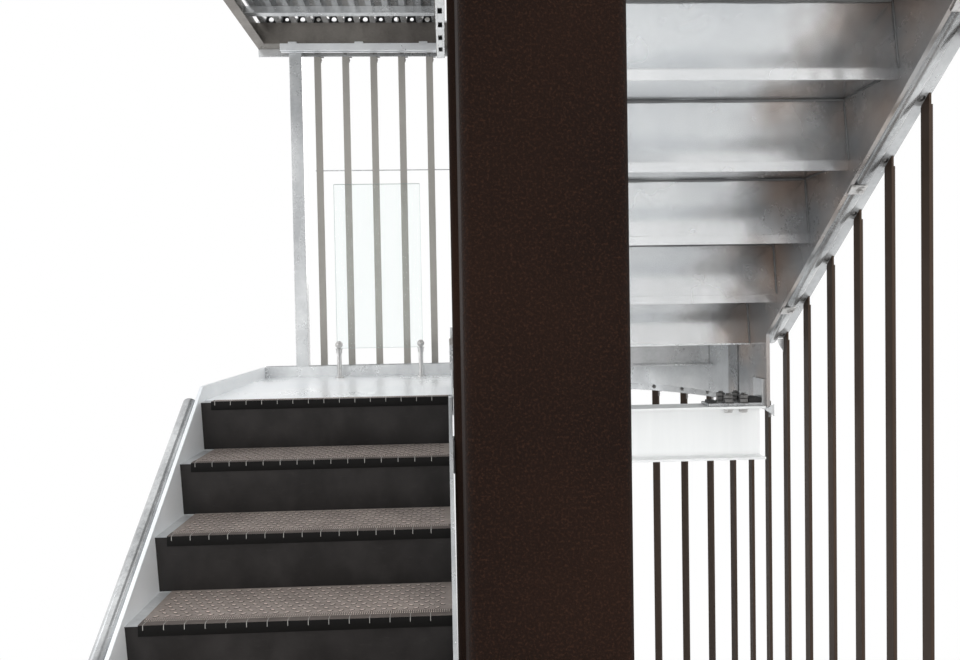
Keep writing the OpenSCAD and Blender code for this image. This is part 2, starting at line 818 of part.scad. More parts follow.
module back_fins(levels) {
    color(fin_colour) in_frame() difference() {
        for (k = [1:6], n = levels)
            translate([row_x(k), back_y + fin_gap, 0]) rotate([0, 0, 90])
                fin(far_foot(n, row_x(k) > -split_x ? upper_rise : left_rise), far_head(n));
        for (s = [0:storeys - 1])
            translate([row_x(6) - 60, tie_rod_y, s * storey_h + left_rise + tie_rod_z])
                rotate([0, 90, 0]) cylinder(d = tie_rod_d + 0.6, h = corner_x - 10 - row_x(6));
    }
}

module near_fins() {
    color(fin_colour) in_frame()
        for (k = [1:6], n = [1:3])
            if (n > 1 || k < 2)
                translate([row_x(k), near_y - fin_gap, 0]) rotate([0, 0, -90])
                    fin(near_foot(n), near_head(n));
}

// Upright rail at a landing, behind the ends of the fins
module straight_rail(z, x0, x1, near = false) {
    translate([x0, near ? near_y - fin_gap : back_y + fin_gap - rail_t, z])
        cube([x1 - x0, rail_t, rail_h]);
}

module side_rail(z, y0, y1) {
    translate([fin_x - rail_t, y0, z]) cube([rail_t, y1 - y0, rail_h]);
}

module corner_rail(z, near = false) {
    ring(fin_r - rail_t, fin_r, z, rail_h, near);
}

module landing_fin_rails() {
    under = edge_z - rail_h - fit;
    over = upper_rise + edge_up - rail_h + fit;
    color(zinc) {
        for (s = [0:storeys - 1])
            in_frame(s) {
                straight_rail(under, -string_x, corner_x);
                corner_rail(under);
                side_rail(under, level_end_y, corner_y);
                straight_rail(over - riser_h, -string_x, -split_x - 1);
                straight_rail(over, -split_x, corner_x);
                corner_rail(over);
                side_rail(over, level_end_y, corner_y);
            }
        for (s = [1:storeys], z = [-channel_drop - rail_h - fit, edge_up - rail_h + fit])
            in_frame(s) {
                straight_rail(z, -string_x, corner_x, true);
                corner_rail(z, true);
                side_rail(z, near_corner_y, high_tube_y);
            }
        for (z = [-channel_drop - rail_h - fit, -deck_h + fit])
            in_frame(storeys) {
                straight_rail(z, -string_x, corner_x);
                corner_rail(z);
                side_rail(z, ring_end_y, corner_y);
            }
    }
}

// A flat bar beside a stringer tube, following the slope
module slope_rail(y0, z0, y1, z1) {
    along_x(tube_x + tube_d / 2 + fit, slope_rail_w) polygon([
        [y0, z0 - rail_half],
        [y1, z1 - rail_half],
        [y1, z1 + rail_half],
        [y0, z0 + rail_half]
    ]);
}

module sloping_fin_rails() {
    y0 = low_tube_y;
    y1 = high_tube_y;
    color(zinc)
        for (s = [0:storeys - 1])
            in_frame(s) {
                slope_rail(y0, right_low(y0), y1, right_low(y1));
                slope_rail(y0, right_high(y0), y1, right_high(y1));
            }
}

// Angle on the ground: a flat under the fins and an upright behind their feet
module base_rail() {
    r0 = fin_r - rail_t;
    w = fin_d + rail_t;
    near_rail_x = row_x(1) - foot_rail_end;
    color(zinc) in_frame() {
        for (part = [[w, 0, base_rail_t - fit], [rail_t, base_rail_t - 1, rail_h]]) {
            translate([fin_x - rail_t, near_corner_y, part[1]])
                cube([part[0], corner_y - near_corner_y, part[2]]);
            ring(r0, r0 + part[0], part[1], part[2]);
            ring(r0, r0 + part[0], part[1], part[2], true);
            translate([-string_x, back_y + fin_gap - rail_t, part[1]])
                cube([string_x + corner_x, part[0], part[2]]);
            translate([near_rail_x, near_y - fin_gap + rail_t - part[0], part[1]])
                cube([corner_x - near_rail_x, part[0], part[2]]);
        }
    }
}

// Flat rail on the heads of the top fins, flush with their outer faces
module top_rail() {
    h = rail_t - fit;
    w = top_rail_w;
    r0 = fin_r + fin_d - w;
    color(zinc) in_frame() translate([0, 0, top_level + screen_h - h]) {
        translate([fin_x + fin_d - w, near_corner_y, 0]) cube([w, corner_y - near_corner_y, h]);
        ring(r0, r0 + w, 0, h);
        ring(r0, r0 + w, 0, h, true);
        translate([-string_x, back_y + fin_gap + fin_d - w, 0]) cube([string_x + corner_x, w, h]);
        translate([-string_x, near_y - fin_gap - fin_d, 0]) cube([string_x + corner_x, w, h]);
    }
}

module fin_tie_rods() {
    color(zinc)
        for (s = [0:storeys - 1])
            in_frame(s) translate([row_x(6) - 25, tie_rod_y, left_rise + tie_rod_z])
                rotate([0, 90, 0]) cylinder(d = tie_rod_d, h = corner_x - 15 - row_x(6));
}

// Clear guards
glass_y = back_y - 104;
glass_x0 = -tread_x - 628;
gallery_glass_x = -tread_x - 34;
gallery_glass_y = [-2180, -1080, 20];
gallery_glass_w = 1080;

module guard_glass() {
    h = glass_top - glass_gap;
    color(clear, 0.4) {
        for (s = [0:storeys - 1])
            in_frame(s) translate([glass_x0, glass_y - glass_t / 2, left_rise + glass_gap])
                cube([glass_w, glass_t, h]);
        in_frame(storeys)
            for (y = gallery_glass_y)
                translate([gallery_glass_x - glass_t / 2, y, glass_gap])
                    cube([glass_t, gallery_glass_w, h]);
    }
}

module spigot(x, y) {
    translate([x, y, 0]) {
        cylinder(d = 50, h = 8);
        cylinder(d = spigot_d, h = glass_gap - fit);
    }
}

module guard_spigots() {
    color(zinc) {
        for (s = [0:storeys - 1])
            in_frame(s) translate([0, 0, left_rise])
                for (x = [glass_x0 + 10, glass_x0 + glass_w - 10])
                    spigot(x, glass_y);
        in_frame(storeys)
            for (y = gallery_glass_y, d = [150, gallery_glass_w - 150])
                spigot(gallery_glass_x, y + d);
    }
}

box_column(near_column_y, column_w);  // near_column
box_column(far_column_y, far_column_w);  // far_column
base_plates();
square_post(-back_post_x, back_post_y);  // back_left_post
square_post(-near_post_x, near_post_y);  // near_left_post
wall_stringer(0);  // wall_stringer_lower
wall_stringer(1);  // wall_stringer_upper
left_well_stringers();
right_well_stringers();
outer_stringer(0);  // outer_stringer_lower
outer_stringer(1);  // outer_stringer_upper
stringer_tubes();
left_steps(0);  // left_steps_lower
left_steps(1);  // left_steps_upper
right_steps(0);  // right_steps_lower
right_steps(1);  // right_steps_upper
step_covers(0);  // step_covers_lower
step_covers(1);  // step_covers_upper
lower_quarter_decks();
upper_quarter_decks();
split_risers();
far_edge_plates();
near_edge_plates();
near_landing_decks();
gallery_deck();
gallery_channels();
deck_joists();
cantilever_beams();
beam_cleats();
landing_fin_rails();
sloping_fin_rails();
base_rail();
top_rail();
fin_tie_rods();
side_fins([1, 2]);  // side_fins_lower
side_fins([3, 4]);  // side_fins_upper
back_fins([1, 2]);  // back_fins_lower
back_fins([3, 4]);  // back_fins_upper
corner_fins([1, 2], false);  // far_corner_fins_lower
corner_fins([3, 4], false);  // far_corner_fins_upper
corner_fins([1, 2, 3], true);  // near_corner_fins
near_fins();
guard_glass();
guard_spigots();
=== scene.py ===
"""Finishes, tread pattern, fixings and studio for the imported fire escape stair."""

import bpy
import numpy as np
from mathutils import Matrix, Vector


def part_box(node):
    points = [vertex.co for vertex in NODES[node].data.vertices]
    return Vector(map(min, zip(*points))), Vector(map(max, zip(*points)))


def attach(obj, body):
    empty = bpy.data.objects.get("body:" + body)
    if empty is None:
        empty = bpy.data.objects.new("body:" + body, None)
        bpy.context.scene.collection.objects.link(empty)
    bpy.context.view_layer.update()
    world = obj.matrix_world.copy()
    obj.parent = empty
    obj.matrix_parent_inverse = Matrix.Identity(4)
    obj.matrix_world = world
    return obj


bl_info = {
    "name": "Fire escape stair",
    "version": (1, 0, 0),
    "blender": (4, 5, 0),
    "location": "3D View > Sidebar > Stair",
    "description": "Finishes, tread pattern and fixings of a two-storey fire escape stair",
    "category": "Object",
}

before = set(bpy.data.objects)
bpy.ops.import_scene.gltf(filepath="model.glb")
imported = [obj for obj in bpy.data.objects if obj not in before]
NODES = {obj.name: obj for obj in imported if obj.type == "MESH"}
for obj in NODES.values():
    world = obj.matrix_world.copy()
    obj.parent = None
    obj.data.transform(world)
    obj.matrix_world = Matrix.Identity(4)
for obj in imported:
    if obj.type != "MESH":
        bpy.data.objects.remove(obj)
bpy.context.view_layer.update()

# The stair's own plan starts at the middle of the well, on the line of the half landing's nosing
COLUMN_LOW, COLUMN_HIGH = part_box("far_column")
START = np.array([(COLUMN_LOW.x + COLUMN_HIGH.x) / 2, COLUMN_HIGH.y + 0.038, 0.0])

# Fixed sizes of the frame, in metres. Places in plan are measured from that start.
RISER, GOING, RISE = 0.210, 0.280, 0.75         # the last is the riser over the going
LEFT_RISERS, RIGHT_RISERS = 6, 9
LANDING, UPPER, STOREY = 1.260, 1.470, 3.360    # the quarter landings and the next floor
TOP = 2 * STOREY
TREAD_X, OUTER_X = 0.122, 1.186                 # the two sides of a flight
COVER_GAP = 0.045                               # bare strip beside the outer stringer
RIGHT_START = 0.034                             # set-back of the right flight's first nosing
STRING_TOP, STRING_DROP = 0.031, 0.325          # a stringer's edges from the line of nosings
TUBE_X, TUBE_R, TUBE_OFF = 1.2303, 0.030, 0.0375
LOW_TUBE_Y, HIGH_TUBE_Y, LEFT_TUBE_Y = -0.175, -2.256, -1.440
BACK_Y, NEAR_Y = 1.192, -3.466
CORNER_X, CORNER_Y, NEAR_CORNER_Y = 0.186, 0.192, -2.466
EDGE_Z, EDGE_UP, DROP, DECK = 1.214, 0.062, 0.170, 0.050
FIN_R, FIN_X, FIN_GAP, FIN_PITCH, LEFT_FIN_PITCH = 1.100, 1.286, 0.100, 0.192, 0.165
RAIL_T, RAIL_HALF, FIT = 0.008, 0.022, 0.0003
COLUMNS = ((0, -2.351, 0.206), (0, -0.138, 0.200))    # place in plan and side
POSTS = ((-0.972, 1.2413), (-1.163, -3.5153))
FOOT_T = 0.020
BEAM_Y, NEAR_BEAM_Y, BEAM_TOP, CLEAT_T = -0.178, -2.3833, EDGE_Z + 0.004, 0.012
PANEL_UP, PANEL_H, HALF_PANEL, GALLERY_PANEL = 0.170, 0.930, 0.485, 1.080
PANEL_Y, GALLERY_PANEL_X, GALLERY_PANELS_Y = 1.088, -0.156, (-2.180, -1.080, 0.020)

X, Y, UP = np.eye(3)
SLOPE, LEFT_SLOPE = np.array([0.0, -0.8, 0.6]), np.array([0.0, 0.8, 0.6])
UNDER_SLOPE = np.array([0.0, -0.6, -0.8])
QUARTER_TURN = np.array([[0.0, -1, 0], [1, 0, 0], [0, 0, 1]])
STOREYS = ((0, "lower"), (1, "upper"))


# Shapes

def outward(points, faces):
    """Turns all faces round if the volume, the sum of a.(b x c)/6 over triangles, is negative."""
    volume = 0.0
    for f in faces:
        a = points[f[:, 0]]
        for i in range(1, f.shape[1] - 1):
            volume += np.einsum("ij,ij->", a, np.cross(points[f[:, i]], points[f[:, i + 1]]))
    return points, ([f[:, ::-1] for f in faces] if volume < 0 else faces)


def grid_solid(points):
    """Closed solid from a grid of points: each row is one closed outline, joined to the next."""
    n, m = points.shape[:2]
    i = np.arange(n - 1)[:, None] * m
    j = np.arange(m)[None, :]
    k = (j + 1) % m
    sides = np.stack([i + j, i + k, i + m + k, i + m + j], -1).reshape(-1, 4)
    ends = np.stack([np.arange(m)[::-1], (n - 1) * m + np.arange(m)])
    return outward(points.reshape(-1, 3), [sides, ends])


def at_height(plan, z):
    """Rows (x, y) with z set beside them."""
    plan = np.asarray(plan, float)
    return np.concatenate([plan, np.full((len(plan), 1), z)], 1)


def stacked(rows):
    """Closed solid from pairs of an outline in plan and its height, one over the other."""
    return grid_solid(np.stack([at_height(outline, z) for outline, z in rows]))


def carried(outline, path, across, up=UP):
    """Point (i, j) = path[i] + a[j]*across[i] + b[j]*up[i], where (a, b) is the outline."""
    path = np.asarray(path, float)
    across = np.broadcast_to(across, path.shape)
    up = np.broadcast_to(up, path.shape)
    outline = np.asarray(outline, float)
    return grid_solid(path[:, None] + outline[None, :, :1] * across[:, None]
                      + outline[None, :, 1:] * up[:, None])


def steps_round(sides, shift=0.5):
    """Angles in equal steps round a circle, from the given share of a step."""
    return 2 * np.pi * (np.arange(sides) + shift) / sides


def directions(angles):
    """Rows (cos t, sin t)."""
    return np.stack([np.cos(angles), np.sin(angles)], 1)


def turned(rings, sides):
    """Point (i, j) = (r[i] cos t[j], r[i] sin t[j], h[i]), with t in equal steps round the axis."""
    return stacked([(r * directions(steps_round(sides)), h) for r, h in rings])


def block(size, middle=(0, 0, 0), bevel=0.001):
    """Plate or bar with cut edges: an eight-sided outline, drawn in by the bevel at both ends."""
    x, y, z = np.asarray(size, float) / 2
    b = min(bevel, 0.9 * min(x, y, z))
    wide = np.array([[x, y - b], [x - b, y], [b - x, y], [-x, y - b],
                     [-x, b - y], [b - x, -y], [x - b, -y], [x, b - y]])
    slim = 0.98 * np.sign(wide) * [x - b, y - b] + 0.02 * wide
    points, faces = stacked([(slim, -z), (wide, b - z), (wide, z - b), (slim, z)])
    return points + np.asarray(middle, float), faces


def copies(solid, places, turns=np.eye(3)):
    """Point v of copy n = turns[n] v + places[n], for all copies at once."""
    points, faces = solid
    places = np.atleast_2d(np.asarray(places, float))
    n = len(places)
    turns = np.broadcast_to(turns, (n, 3, 3))
    moved = np.einsum("nij,vj->nvi", turns, points) + places[:, None]
    step = (np.arange(n) * len(points))[:, None, None]
    return moved.reshape(-1, 3), [(f[None] + step).reshape(-1, f.shape[1]) for f in faces]


def on_both_storeys(solid, places=(0, 0, 0), turns=np.eye(3)):
    """Copies at the places given and again one storey up."""
    places = np.atleast_2d(places)
    turns = np.broadcast_to(turns, (len(places), 3, 3))
    return copies(solid, np.concatenate([places, places + STOREY * UP]),
                  np.concatenate([turns, turns]))


def joined(solids):
    """One solid from several: the numbers in each one's faces go up by the points before it."""
    points, faces, start = [], [], 0
    for p, fs in solids:
        points.append(p)
        faces += [f + start for f in fs]
        start += len(p)
    return np.concatenate(points), faces


def facing(direction):
    """Turns whose third axis is the given direction, with the other two square to it."""
    d = np.atleast_2d(np.asarray(direction, float))
    d = d / np.linalg.norm(d, axis=1, keepdims=True)
    side = np.where(np.abs(d[:, 2:]) > 0.9, X, UP)
    u = np.cross(side, d)
    u /= np.linalg.norm(u, axis=1, keepdims=True)
    return np.stack([u, np.cross(d, u), d], -1)


def spots(*axes):
    """Every combination of the values given for each axis, as rows."""
    return np.stack(np.meshgrid(*axes, indexing="ij"), -1).reshape(-1, len(axes))


def either_side(middle, distance):
    """The two values at a distance from the middle."""
    return [middle - distance, middle + distance]


def piece(name, solids, coat):
    """Puts solids into one mesh with the named finish, sharp where faces meet at over 40 degrees,
    and lets it ride on the frame."""
    old = bpy.data.objects.get(name)
    if old:
        bpy.data.objects.remove(old)
    points, faces = joined(solids)
    corners = np.concatenate([f.ravel() for f in faces])
    sizes = np.concatenate([np.full(len(f), f.shape[1]) for f in faces])
    mesh = bpy.data.meshes.new(name)
    mesh.vertices.add(len(points))
    mesh.vertices.foreach_set("co", (points + START).astype(np.float32).ravel())
    mesh.loops.add(len(corners))
    mesh.loops.foreach_set("vertex_index", corners.astype(np.int32))
    mesh.polygons.add(len(sizes))
    mesh.polygons.foreach_set("loop_start", (np.cumsum(sizes) - sizes).astype(np.int32))
    mesh.update(calc_edges=True)
    if mesh.validate():
        raise RuntimeError(f"{name} has faces that are not valid")
    mesh.polygons.foreach_set("use_smooth", np.ones(len(sizes), bool))
    mesh.set_sharp_from_angle(angle=np.radians(40))
    mesh.materials.append(finish(coat))
    made = bpy.data.objects.new(name, mesh)
    bpy.context.scene.collection.objects.link(made)
    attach(made, "root")
    return made


# Fasteners, each standing on z = 0 with its head up the z axis, for a bolt of diameter d

def hex_head(d):
    """Washer and chamfered six-sided head: turned rings of 16 and of 6 sides."""
    r = 0.92 * d
    return joined([
        turned([(1.1 * d, 0), (1.15 * d, 0.03 * d), (1.15 * d, 0.13 * d), (1.1 * d, 0.16 * d)], 16),
        turned([(r, 0.15 * d), (r, 0.7 * d), (0.84 * r, 0.82 * d)], 6)])


def nut_on_stud(d, length):
    """Washer, six-sided nut and the end of a stud, whose rings are wider and narrower in turn."""
    r = 0.94 * d
    z = np.arange(0.9 * d, length, 0.09 * d)
    thread = [(d * (0.5 if i % 2 else 0.46), h) for i, h in enumerate(z)]
    return joined([
        turned([(1.1 * d, 0), (1.16 * d, 0.03 * d), (1.16 * d, 0.15 * d), (1.1 * d, 0.18 * d)], 18),
        turned([(0.88 * r, 0.17 * d), (r, 0.25 * d), (r, 0.93 * d), (0.86 * r, 1.02 * d)], 6),
        turned([(0.5 * d, 0)] + thread + [(0.38 * d, length)], 10)])


def locked_nut(d, length):
    """The same with a second, thinner nut turned on over the first."""
    r = 0.94 * d
    second = [(0.88 * r, 1.03 * d), (r, 1.1 * d), (r, 1.68 * d), (0.86 * r, 1.77 * d)]
    return joined([nut_on_stud(d, length), turned(second, 6)])


def button_head(d):
    """Domed screw with a socket: rings out to the rim, over the dome and down into the socket."""
    return joined([
        turned([(1.5 * d, 0), (1.5 * d, 0.14 * d), (1.42 * d, 0.2 * d)], 14),
        turned([(0.95 * d, 0.19 * d), (0.95 * d, 0.27 * d), (0.84 * d, 0.48 * d),
                (0.6 * d, 0.64 * d), (0.34 * d, 0.7 * d), (0.3 * d, 0.68 * d),
                (0.3 * d, 0.4 * d)], 12)])


# Finishes

def shade(colour, factor, more=0.0):
    """The colour times a factor, or times one factor a channel, plus a little more, up to white."""
    return tuple(float(v) for v in np.minimum(1.0, np.multiply(colour, factor) + more))


class Nodes:
    """Adds shader nodes to a tree. Their inputs take numbers, colours or other nodes' outputs."""

    def __init__(self, tree):
        self.tree = tree

    def feed(self, socket, value):
        if isinstance(value, bpy.types.NodeSocket):
            self.tree.links.new(value, socket)
        else:
            socket.default_value = value

    def add(self, kind, values=(), **settings):
        node = self.tree.nodes.new("ShaderNode" + kind)
        for key, value in settings.items():
            setattr(node, key, value)
        for key, value in dict(values).items():
            self.feed(node.inputs[key], value)
        return node

    def reckon(self, how, total, *values):
        """Arithmetic on numbers or outputs, taken from the left."""
        for value in values:
            total = self.add("Math", {0: total, 1: value}, operation=how).outputs[0]
        return total

    def plus(self, *values):
        return self.reckon("ADD", *values)

    def times(self, *values):
        return self.reckon("MULTIPLY", *values)

    def capped(self, *values):
        """The sum of the values, held to at most 1."""
        return self.reckon("MINIMUM", self.plus(*values), 1.0)

    def spread(self, value, low, high, to=(0.0, 1.0), curve="LINEAR"):
        """The value carried from low..high over to another range, and held inside it."""
        values = {"Value": value, "From Min": low, "From Max": high,
                  "To Min": to[0], "To Max": to[1]}
        return self.add("MapRange", values, interpolation_type=curve).outputs[0]

    def mix(self, amount, first, second):
        """Mixes two colours, or colour outputs, by an amount."""
        node = self.add("Mix", {"Factor": amount}, data_type="RGBA")
        for socket, value in ((node.inputs[6], first), (node.inputs[7], second)):
            self.feed(socket, value if isinstance(value, bpy.types.NodeSocket) else (*value, 1))
        return node.outputs[2]

    def here(self, scale=(1, 1, 1)):
        """Object coordinates, stretched for a streak or turned for a grain."""
        where = self.add("TexCoord").outputs["Object"]
        return self.add("Mapping", {"Vector": where, "Scale": scale}).outputs["Vector"]

    def along(self, axis, vector=None):
        """One axis of a vector, or else of the object coordinates."""
        return self.add("SeparateXYZ", {"Vector": vector or self.here()}).outputs[axis]

    def facing(self, axis):
        """How far the surface looks along an axis."""
        return self.along(axis, self.add("NewGeometry").outputs["Normal"])

    def noise(self, scale, detail, rough=0.5, where=None):
        values = {"Vector": where or self.here(), "Scale": scale, "Detail": detail,
                  "Roughness": rough}
        return self.add("TexNoise", values).outputs["Fac"]

    def cloud(self, size, detail=4, rough=0.55, low=0.35, high=0.65, scale=(1, 1, 1)):
        """Soft noise whose patches are about size metres across, spread over 0 to 1."""
        return self.spread(self.noise(1 / size, detail, rough, self.here(scale)), low, high)

    def crystals(self, scale, channel):
        """Flat cells, each with its own tone."""
        cells = self.add("TexVoronoi", {"Vector": self.here(), "Scale": scale}, feature="F1")
        return self.add("SeparateColor", {"Color": cells.outputs["Color"]}).outputs[channel]

    def bump(self, height, strength, distance, rounding=0.0):
        """Small relief from a height, on normals that roll over sharp edges by the rounding."""
        values = {"Height": height, "Strength": strength, "Distance": distance}
        if rounding:
            values["Normal"] = self.add("Bevel", {"Radius": rounding}, samples=4).outputs["Normal"]
        return self.add("Bump", values).outputs["Normal"]


class Finish(Nodes):
    """A material under construction, with its own shader."""

    def __init__(self, name):
        old = bpy.data.materials.get(name)
        if old:
            bpy.data.materials.remove(old)
        self.made = bpy.data.materials.new(name)
        self.made.use_nodes = True
        super().__init__(self.made.node_tree)
        self.shader = self.tree.nodes["Principled BSDF"]

    def shade_with(self, **values):
        """Feeds the shader's inputs, named with a line under for each space."""
        for key, value in values.items():
            self.feed(self.shader.inputs[key.replace("_", " ")], value)


def painted_reflection(coat, base, strength):
    """Brown-grey painted reflection of the dark outer stringer and the brown fins, growing from
    0.92 to 1.26 m out, on faces that don't look outward.
    """
    ragged = coat.plus(coat.along("X"), coat.times(coat.cloud(0.2, 3, 0.5, 0.3, 0.7), 0.16))
    end = coat.spread(ragged, float(START[0]) + 0.92, float(START[0]) + 1.26, curve="SMOOTHSTEP")
    inner = coat.spread(coat.facing("X"), 0.6, 0.1)
    reflected_brown = coat.mix(coat.cloud(0.3, 2, 0.5, 0.4, 0.6), (0.14, 0.14, 0.145), (0.29, 0.175, 0.105))
    return coat.mix(coat.times(end, inner, strength), base, reflected_brown)


def painted_shade_riser_fronts(coat, front, facing_y, base, rough, metal):
    """Dark satin colour on faces that look along facing_y, within 31 mm of a nosing line: painted
    shade on the risers' fronts, with smudges and scuffs on it. A place's share of a going is the
    fraction of (y - first) / going, so each riser of the flight gets it."""
    looks = coat.reckon("GREATER_THAN", coat.times(coat.facing("Y"), facing_y), 0.6)
    first = float(START[1]) - (RIGHT_START if facing_y > 0 else 0.0)
    back = coat.times(coat.reckon("SUBTRACT", coat.along("Y"), first), -facing_y)
    share = coat.add("Math", {0: coat.plus(coat.reckon("DIVIDE", back, GOING), 8.0)},
                     operation="FRACT").outputs[0]
    # Painted shade: riser fronts take a dark satin colour and lose their metal
    is_shaded_front = coat.times(looks, coat.reckon("LESS_THAN", share, 0.1128))
    smudge = coat.cloud(0.16, 4, 0.6, 0.4, 0.75, (1, 1, 0.7))
    scuff = coat.cloud(0.02, 6, 0.75, 0.58, 0.8, (0.5, 1, 2.2))
    dark = coat.mix(coat.times(smudge, 0.75), front, shade(front, 2.1))
    dark = coat.mix(coat.times(scuff, 0.35), dark, shade(front, 4))
    elsewhere = coat.reckon("SUBTRACT", 1.0, is_shaded_front)
    rough = coat.plus(coat.times(rough, elsewhere),
                      coat.times(coat.plus(0.4, coat.times(smudge, 0.16)), is_shaded_front))
    return coat.mix(is_shaded_front, base, dark), rough, coat.times(metal, elsewhere)


def zinc_coat(name, light, dark, shine=0.6, base_rough=0.17, front=None, facing_y=0.0, reflection_strength=0.0):
    """Hot-dip zinc: crystals a finger wide, cloudy patches and runs, with a painted brown
    reflection near the outer stringer and dark riser fronts of painted shade where they are asked
    for."""
    coat = Finish(name)
    tone, grain = coat.crystals(85.0, 0), coat.crystals(210.0, 1)
    patch = coat.cloud(0.42, 3, 0.5, 0.36, 0.66)
    runs = coat.cloud(0.06, 2, 0.5, 0.42, 0.75, (1, 1, 0.16))
    white = coat.cloud(0.24, 3, 0.5, 0.5, 0.72)
    mixed = coat.capped(coat.times(patch, 0.6), coat.times(tone, 0.15), coat.times(grain, 0.08),
                        coat.times(runs, 0.2))
    base = coat.mix(mixed, light, dark)
    base = coat.mix(coat.times(white, 0.35), base, light)
    # Painted reflection: brown-grey near the outer stringer, standing in for its dark side and the
    # fins mirrored in the zinc
    if reflection_strength:
        base = painted_reflection(coat, base, reflection_strength)
    rough = coat.plus(coat.times(mixed, 0.16), coat.times(white, 0.08), base_rough)
    metal = coat.reckon("SUBTRACT", shine, coat.times(white, 0.12))
    waves = coat.plus(coat.cloud(0.25, 1, 0.4, 0.2, 0.8), coat.times(tone, 0.02))
    if facing_y:
        base, rough, metal = painted_shade_riser_fronts(coat, front, facing_y, base, rough, metal)
    coat.shade_with(Base_Color=base, Roughness=rough, Metallic=metal, Specular_IOR_Level=0.2,
                    Normal=coat.bump(waves, 0.14, 0.006, 0.0026))


def sand_coat(name, colour, warm):
    """Dark textured coating: sand grains 2 mm across in bump and tone, over slow warmer clouds."""
    coat = Finish(name)
    grit = coat.noise(300.0, 3.0, 0.7)
    pits = coat.add("TexVoronoi", {"Vector": coat.here(), "Scale": 300.0}, feature="SMOOTH_F1")
    dust = coat.spread(coat.along("Z"), 0.0, 0.5, (0.35, 0.0))
    base = coat.mix(coat.times(coat.cloud(0.9, 4, 0.5, 0.35, 0.68), 0.8), colour, warm)
    base = coat.mix(coat.times(coat.spread(grit, 0.5, 0.72), 0.6), base, shade(warm, 2.3))
    base = coat.mix(dust, base, (0.12, 0.105, 0.09))
    rise = coat.reckon("SUBTRACT", grit, coat.times(pits.outputs["Distance"], 0.5))
    coat.shade_with(Base_Color=base, Roughness=coat.plus(0.52, coat.times(grit, 0.25)),
                    Specular_IOR_Level=0.07, Normal=coat.bump(rise, 0.8, 0.0016, 0.003))


def moulded_rubber(name, black, worn_and_lit):
    """Tread rubber: black on upright faces, and grey-brown on top with scuffs and dust; the lighter
    tops are partly wear from feet and partly painted light.
    """
    coat = Finish(name)
    # Wear and painted light: faces that look up take the lighter top colour
    top = coat.spread(coat.facing("Z"), 0.75, 0.98)
    patch = coat.cloud(0.13, 5, 0.6, 0.36, 0.66)
    scuff = coat.cloud(0.018, 5, 0.75, 0.52, 0.74, (0.7, 1.6, 1))
    tread = coat.mix(coat.times(patch, 0.6), worn_and_lit, shade(worn_and_lit, 0.6))
    tread = coat.mix(coat.times(scuff, 0.45), tread, shade(worn_and_lit, 1.9))
    coat.shade_with(Base_Color=coat.mix(top, black, tread), Specular_IOR_Level=0.12,
                    Roughness=coat.plus(0.42, coat.times(patch, 0.22)),
                    Normal=coat.bump(coat.noise(900.0, 2.0), 0.25, 0.0006))


def smooth_coat(name, colour, spread=0.25, rough=0.38, specular=0.5):
    """Sprayed coat on steel: faint orange peel, slow clouds, rain runs and a dusty film."""
    coat = Finish(name)
    slow = coat.cloud(0.7, 4, 0.55, 0.35, 0.66)
    runs = coat.cloud(0.02, 3, 0.5, 0.45, 0.8, (1, 1, 0.05))
    base = coat.mix(coat.times(slow, spread * 2), colour, shade(colour, 1 - spread))
    base = coat.mix(coat.times(runs, 0.14), base, shade(colour, 1.25, 0.006))
    coat.shade_with(Base_Color=base, Roughness=coat.plus(rough, coat.times(runs, 0.14)),
                    Specular_IOR_Level=specular,
                    Normal=coat.bump(coat.noise(500.0, 1.0), 0.12, 0.0004, 0.0015))


def ground_steel(name, colour, rough=0.28):
    """Ground stainless or plated steel: fine drawn lines and small stains."""
    coat = Finish(name)
    lines = coat.noise(160.0, 3.0, where=coat.here((1, 1, 14)))
    stain = coat.cloud(0.012, 4, 0.6, 0.5, 0.75)
    base = coat.mix(coat.times(stain, 0.5), colour, shade(colour, 0.55))
    base = coat.mix(coat.times(lines, 0.2), base, shade(colour, 1.2))
    coat.shade_with(Base_Color=base, Metallic=1.0, Normal=coat.bump(lines, 0.1, 0.0002),
                    Roughness=coat.plus(rough, coat.times(stain, 0.25)))


def clear_panel(name, tint):
    """Clear laminated panel: near-clear shader with faint smears in its gloss."""
    coat = Finish(name)
    smear = coat.cloud(0.09, 5, 0.65, 0.5, 0.8, (1, 1, 0.5))
    coat.shade_with(Base_Color=coat.mix(coat.times(smear, 0.5), tint, shade(tint, 0.965)),
                    Roughness=coat.times(smear, 0.07), Transmission_Weight=1.0, IOR=1.05)


def finish(name):
    """The finish of that name, made earlier."""
    found = bpy.data.materials.get(name)
    if not found:
        raise RuntimeError(f"run the finishes first: there is no {name}")
    return found


# Settings

def length(name, text, value):
    return bpy.props.FloatProperty(name=name, description=text, default=value, min=0.0,
                                   subtype="DISTANCE", unit="LENGTH", precision=4)


def power(name, text, value):
    return bpy.props.FloatProperty(name=name, description=text, default=value, min=0.0,
                                   subtype="POWER", unit="POWER")


def colour(name, text, value):
    return bpy.props.FloatVectorProperty(name=name, description=text, default=value, size=3,
                                         subtype="COLOR", min=0.0, max=1.0)


class StairPatternSizes(bpy.types.PropertyGroup):
    dash_pitch: length("Dash pitch", "Spacing of the raised dashes along a tread", 0.036)
    dash_row: length("Row spacing", "Spacing of the rows of dashes", 0.0275)
    dash_long: length("Dash length", "Length of one raised dash", 0.0255)
    dash_wide: length("Dash width", "Width of one raised dash", 0.0092)
    dash_high: length("Dash height", "Height of a dash above the cover", 0.0017)
    tick_pitch: length("Tick pitch", "Spacing of the small ribs behind the nosing", 0.00739)
    notch_pitch: length("Notch pitch", "Spacing of the pale notches in the nosing", 0.0665)
    notch_wide: length("Notch width", "Width of a pale notch", 0.0020)


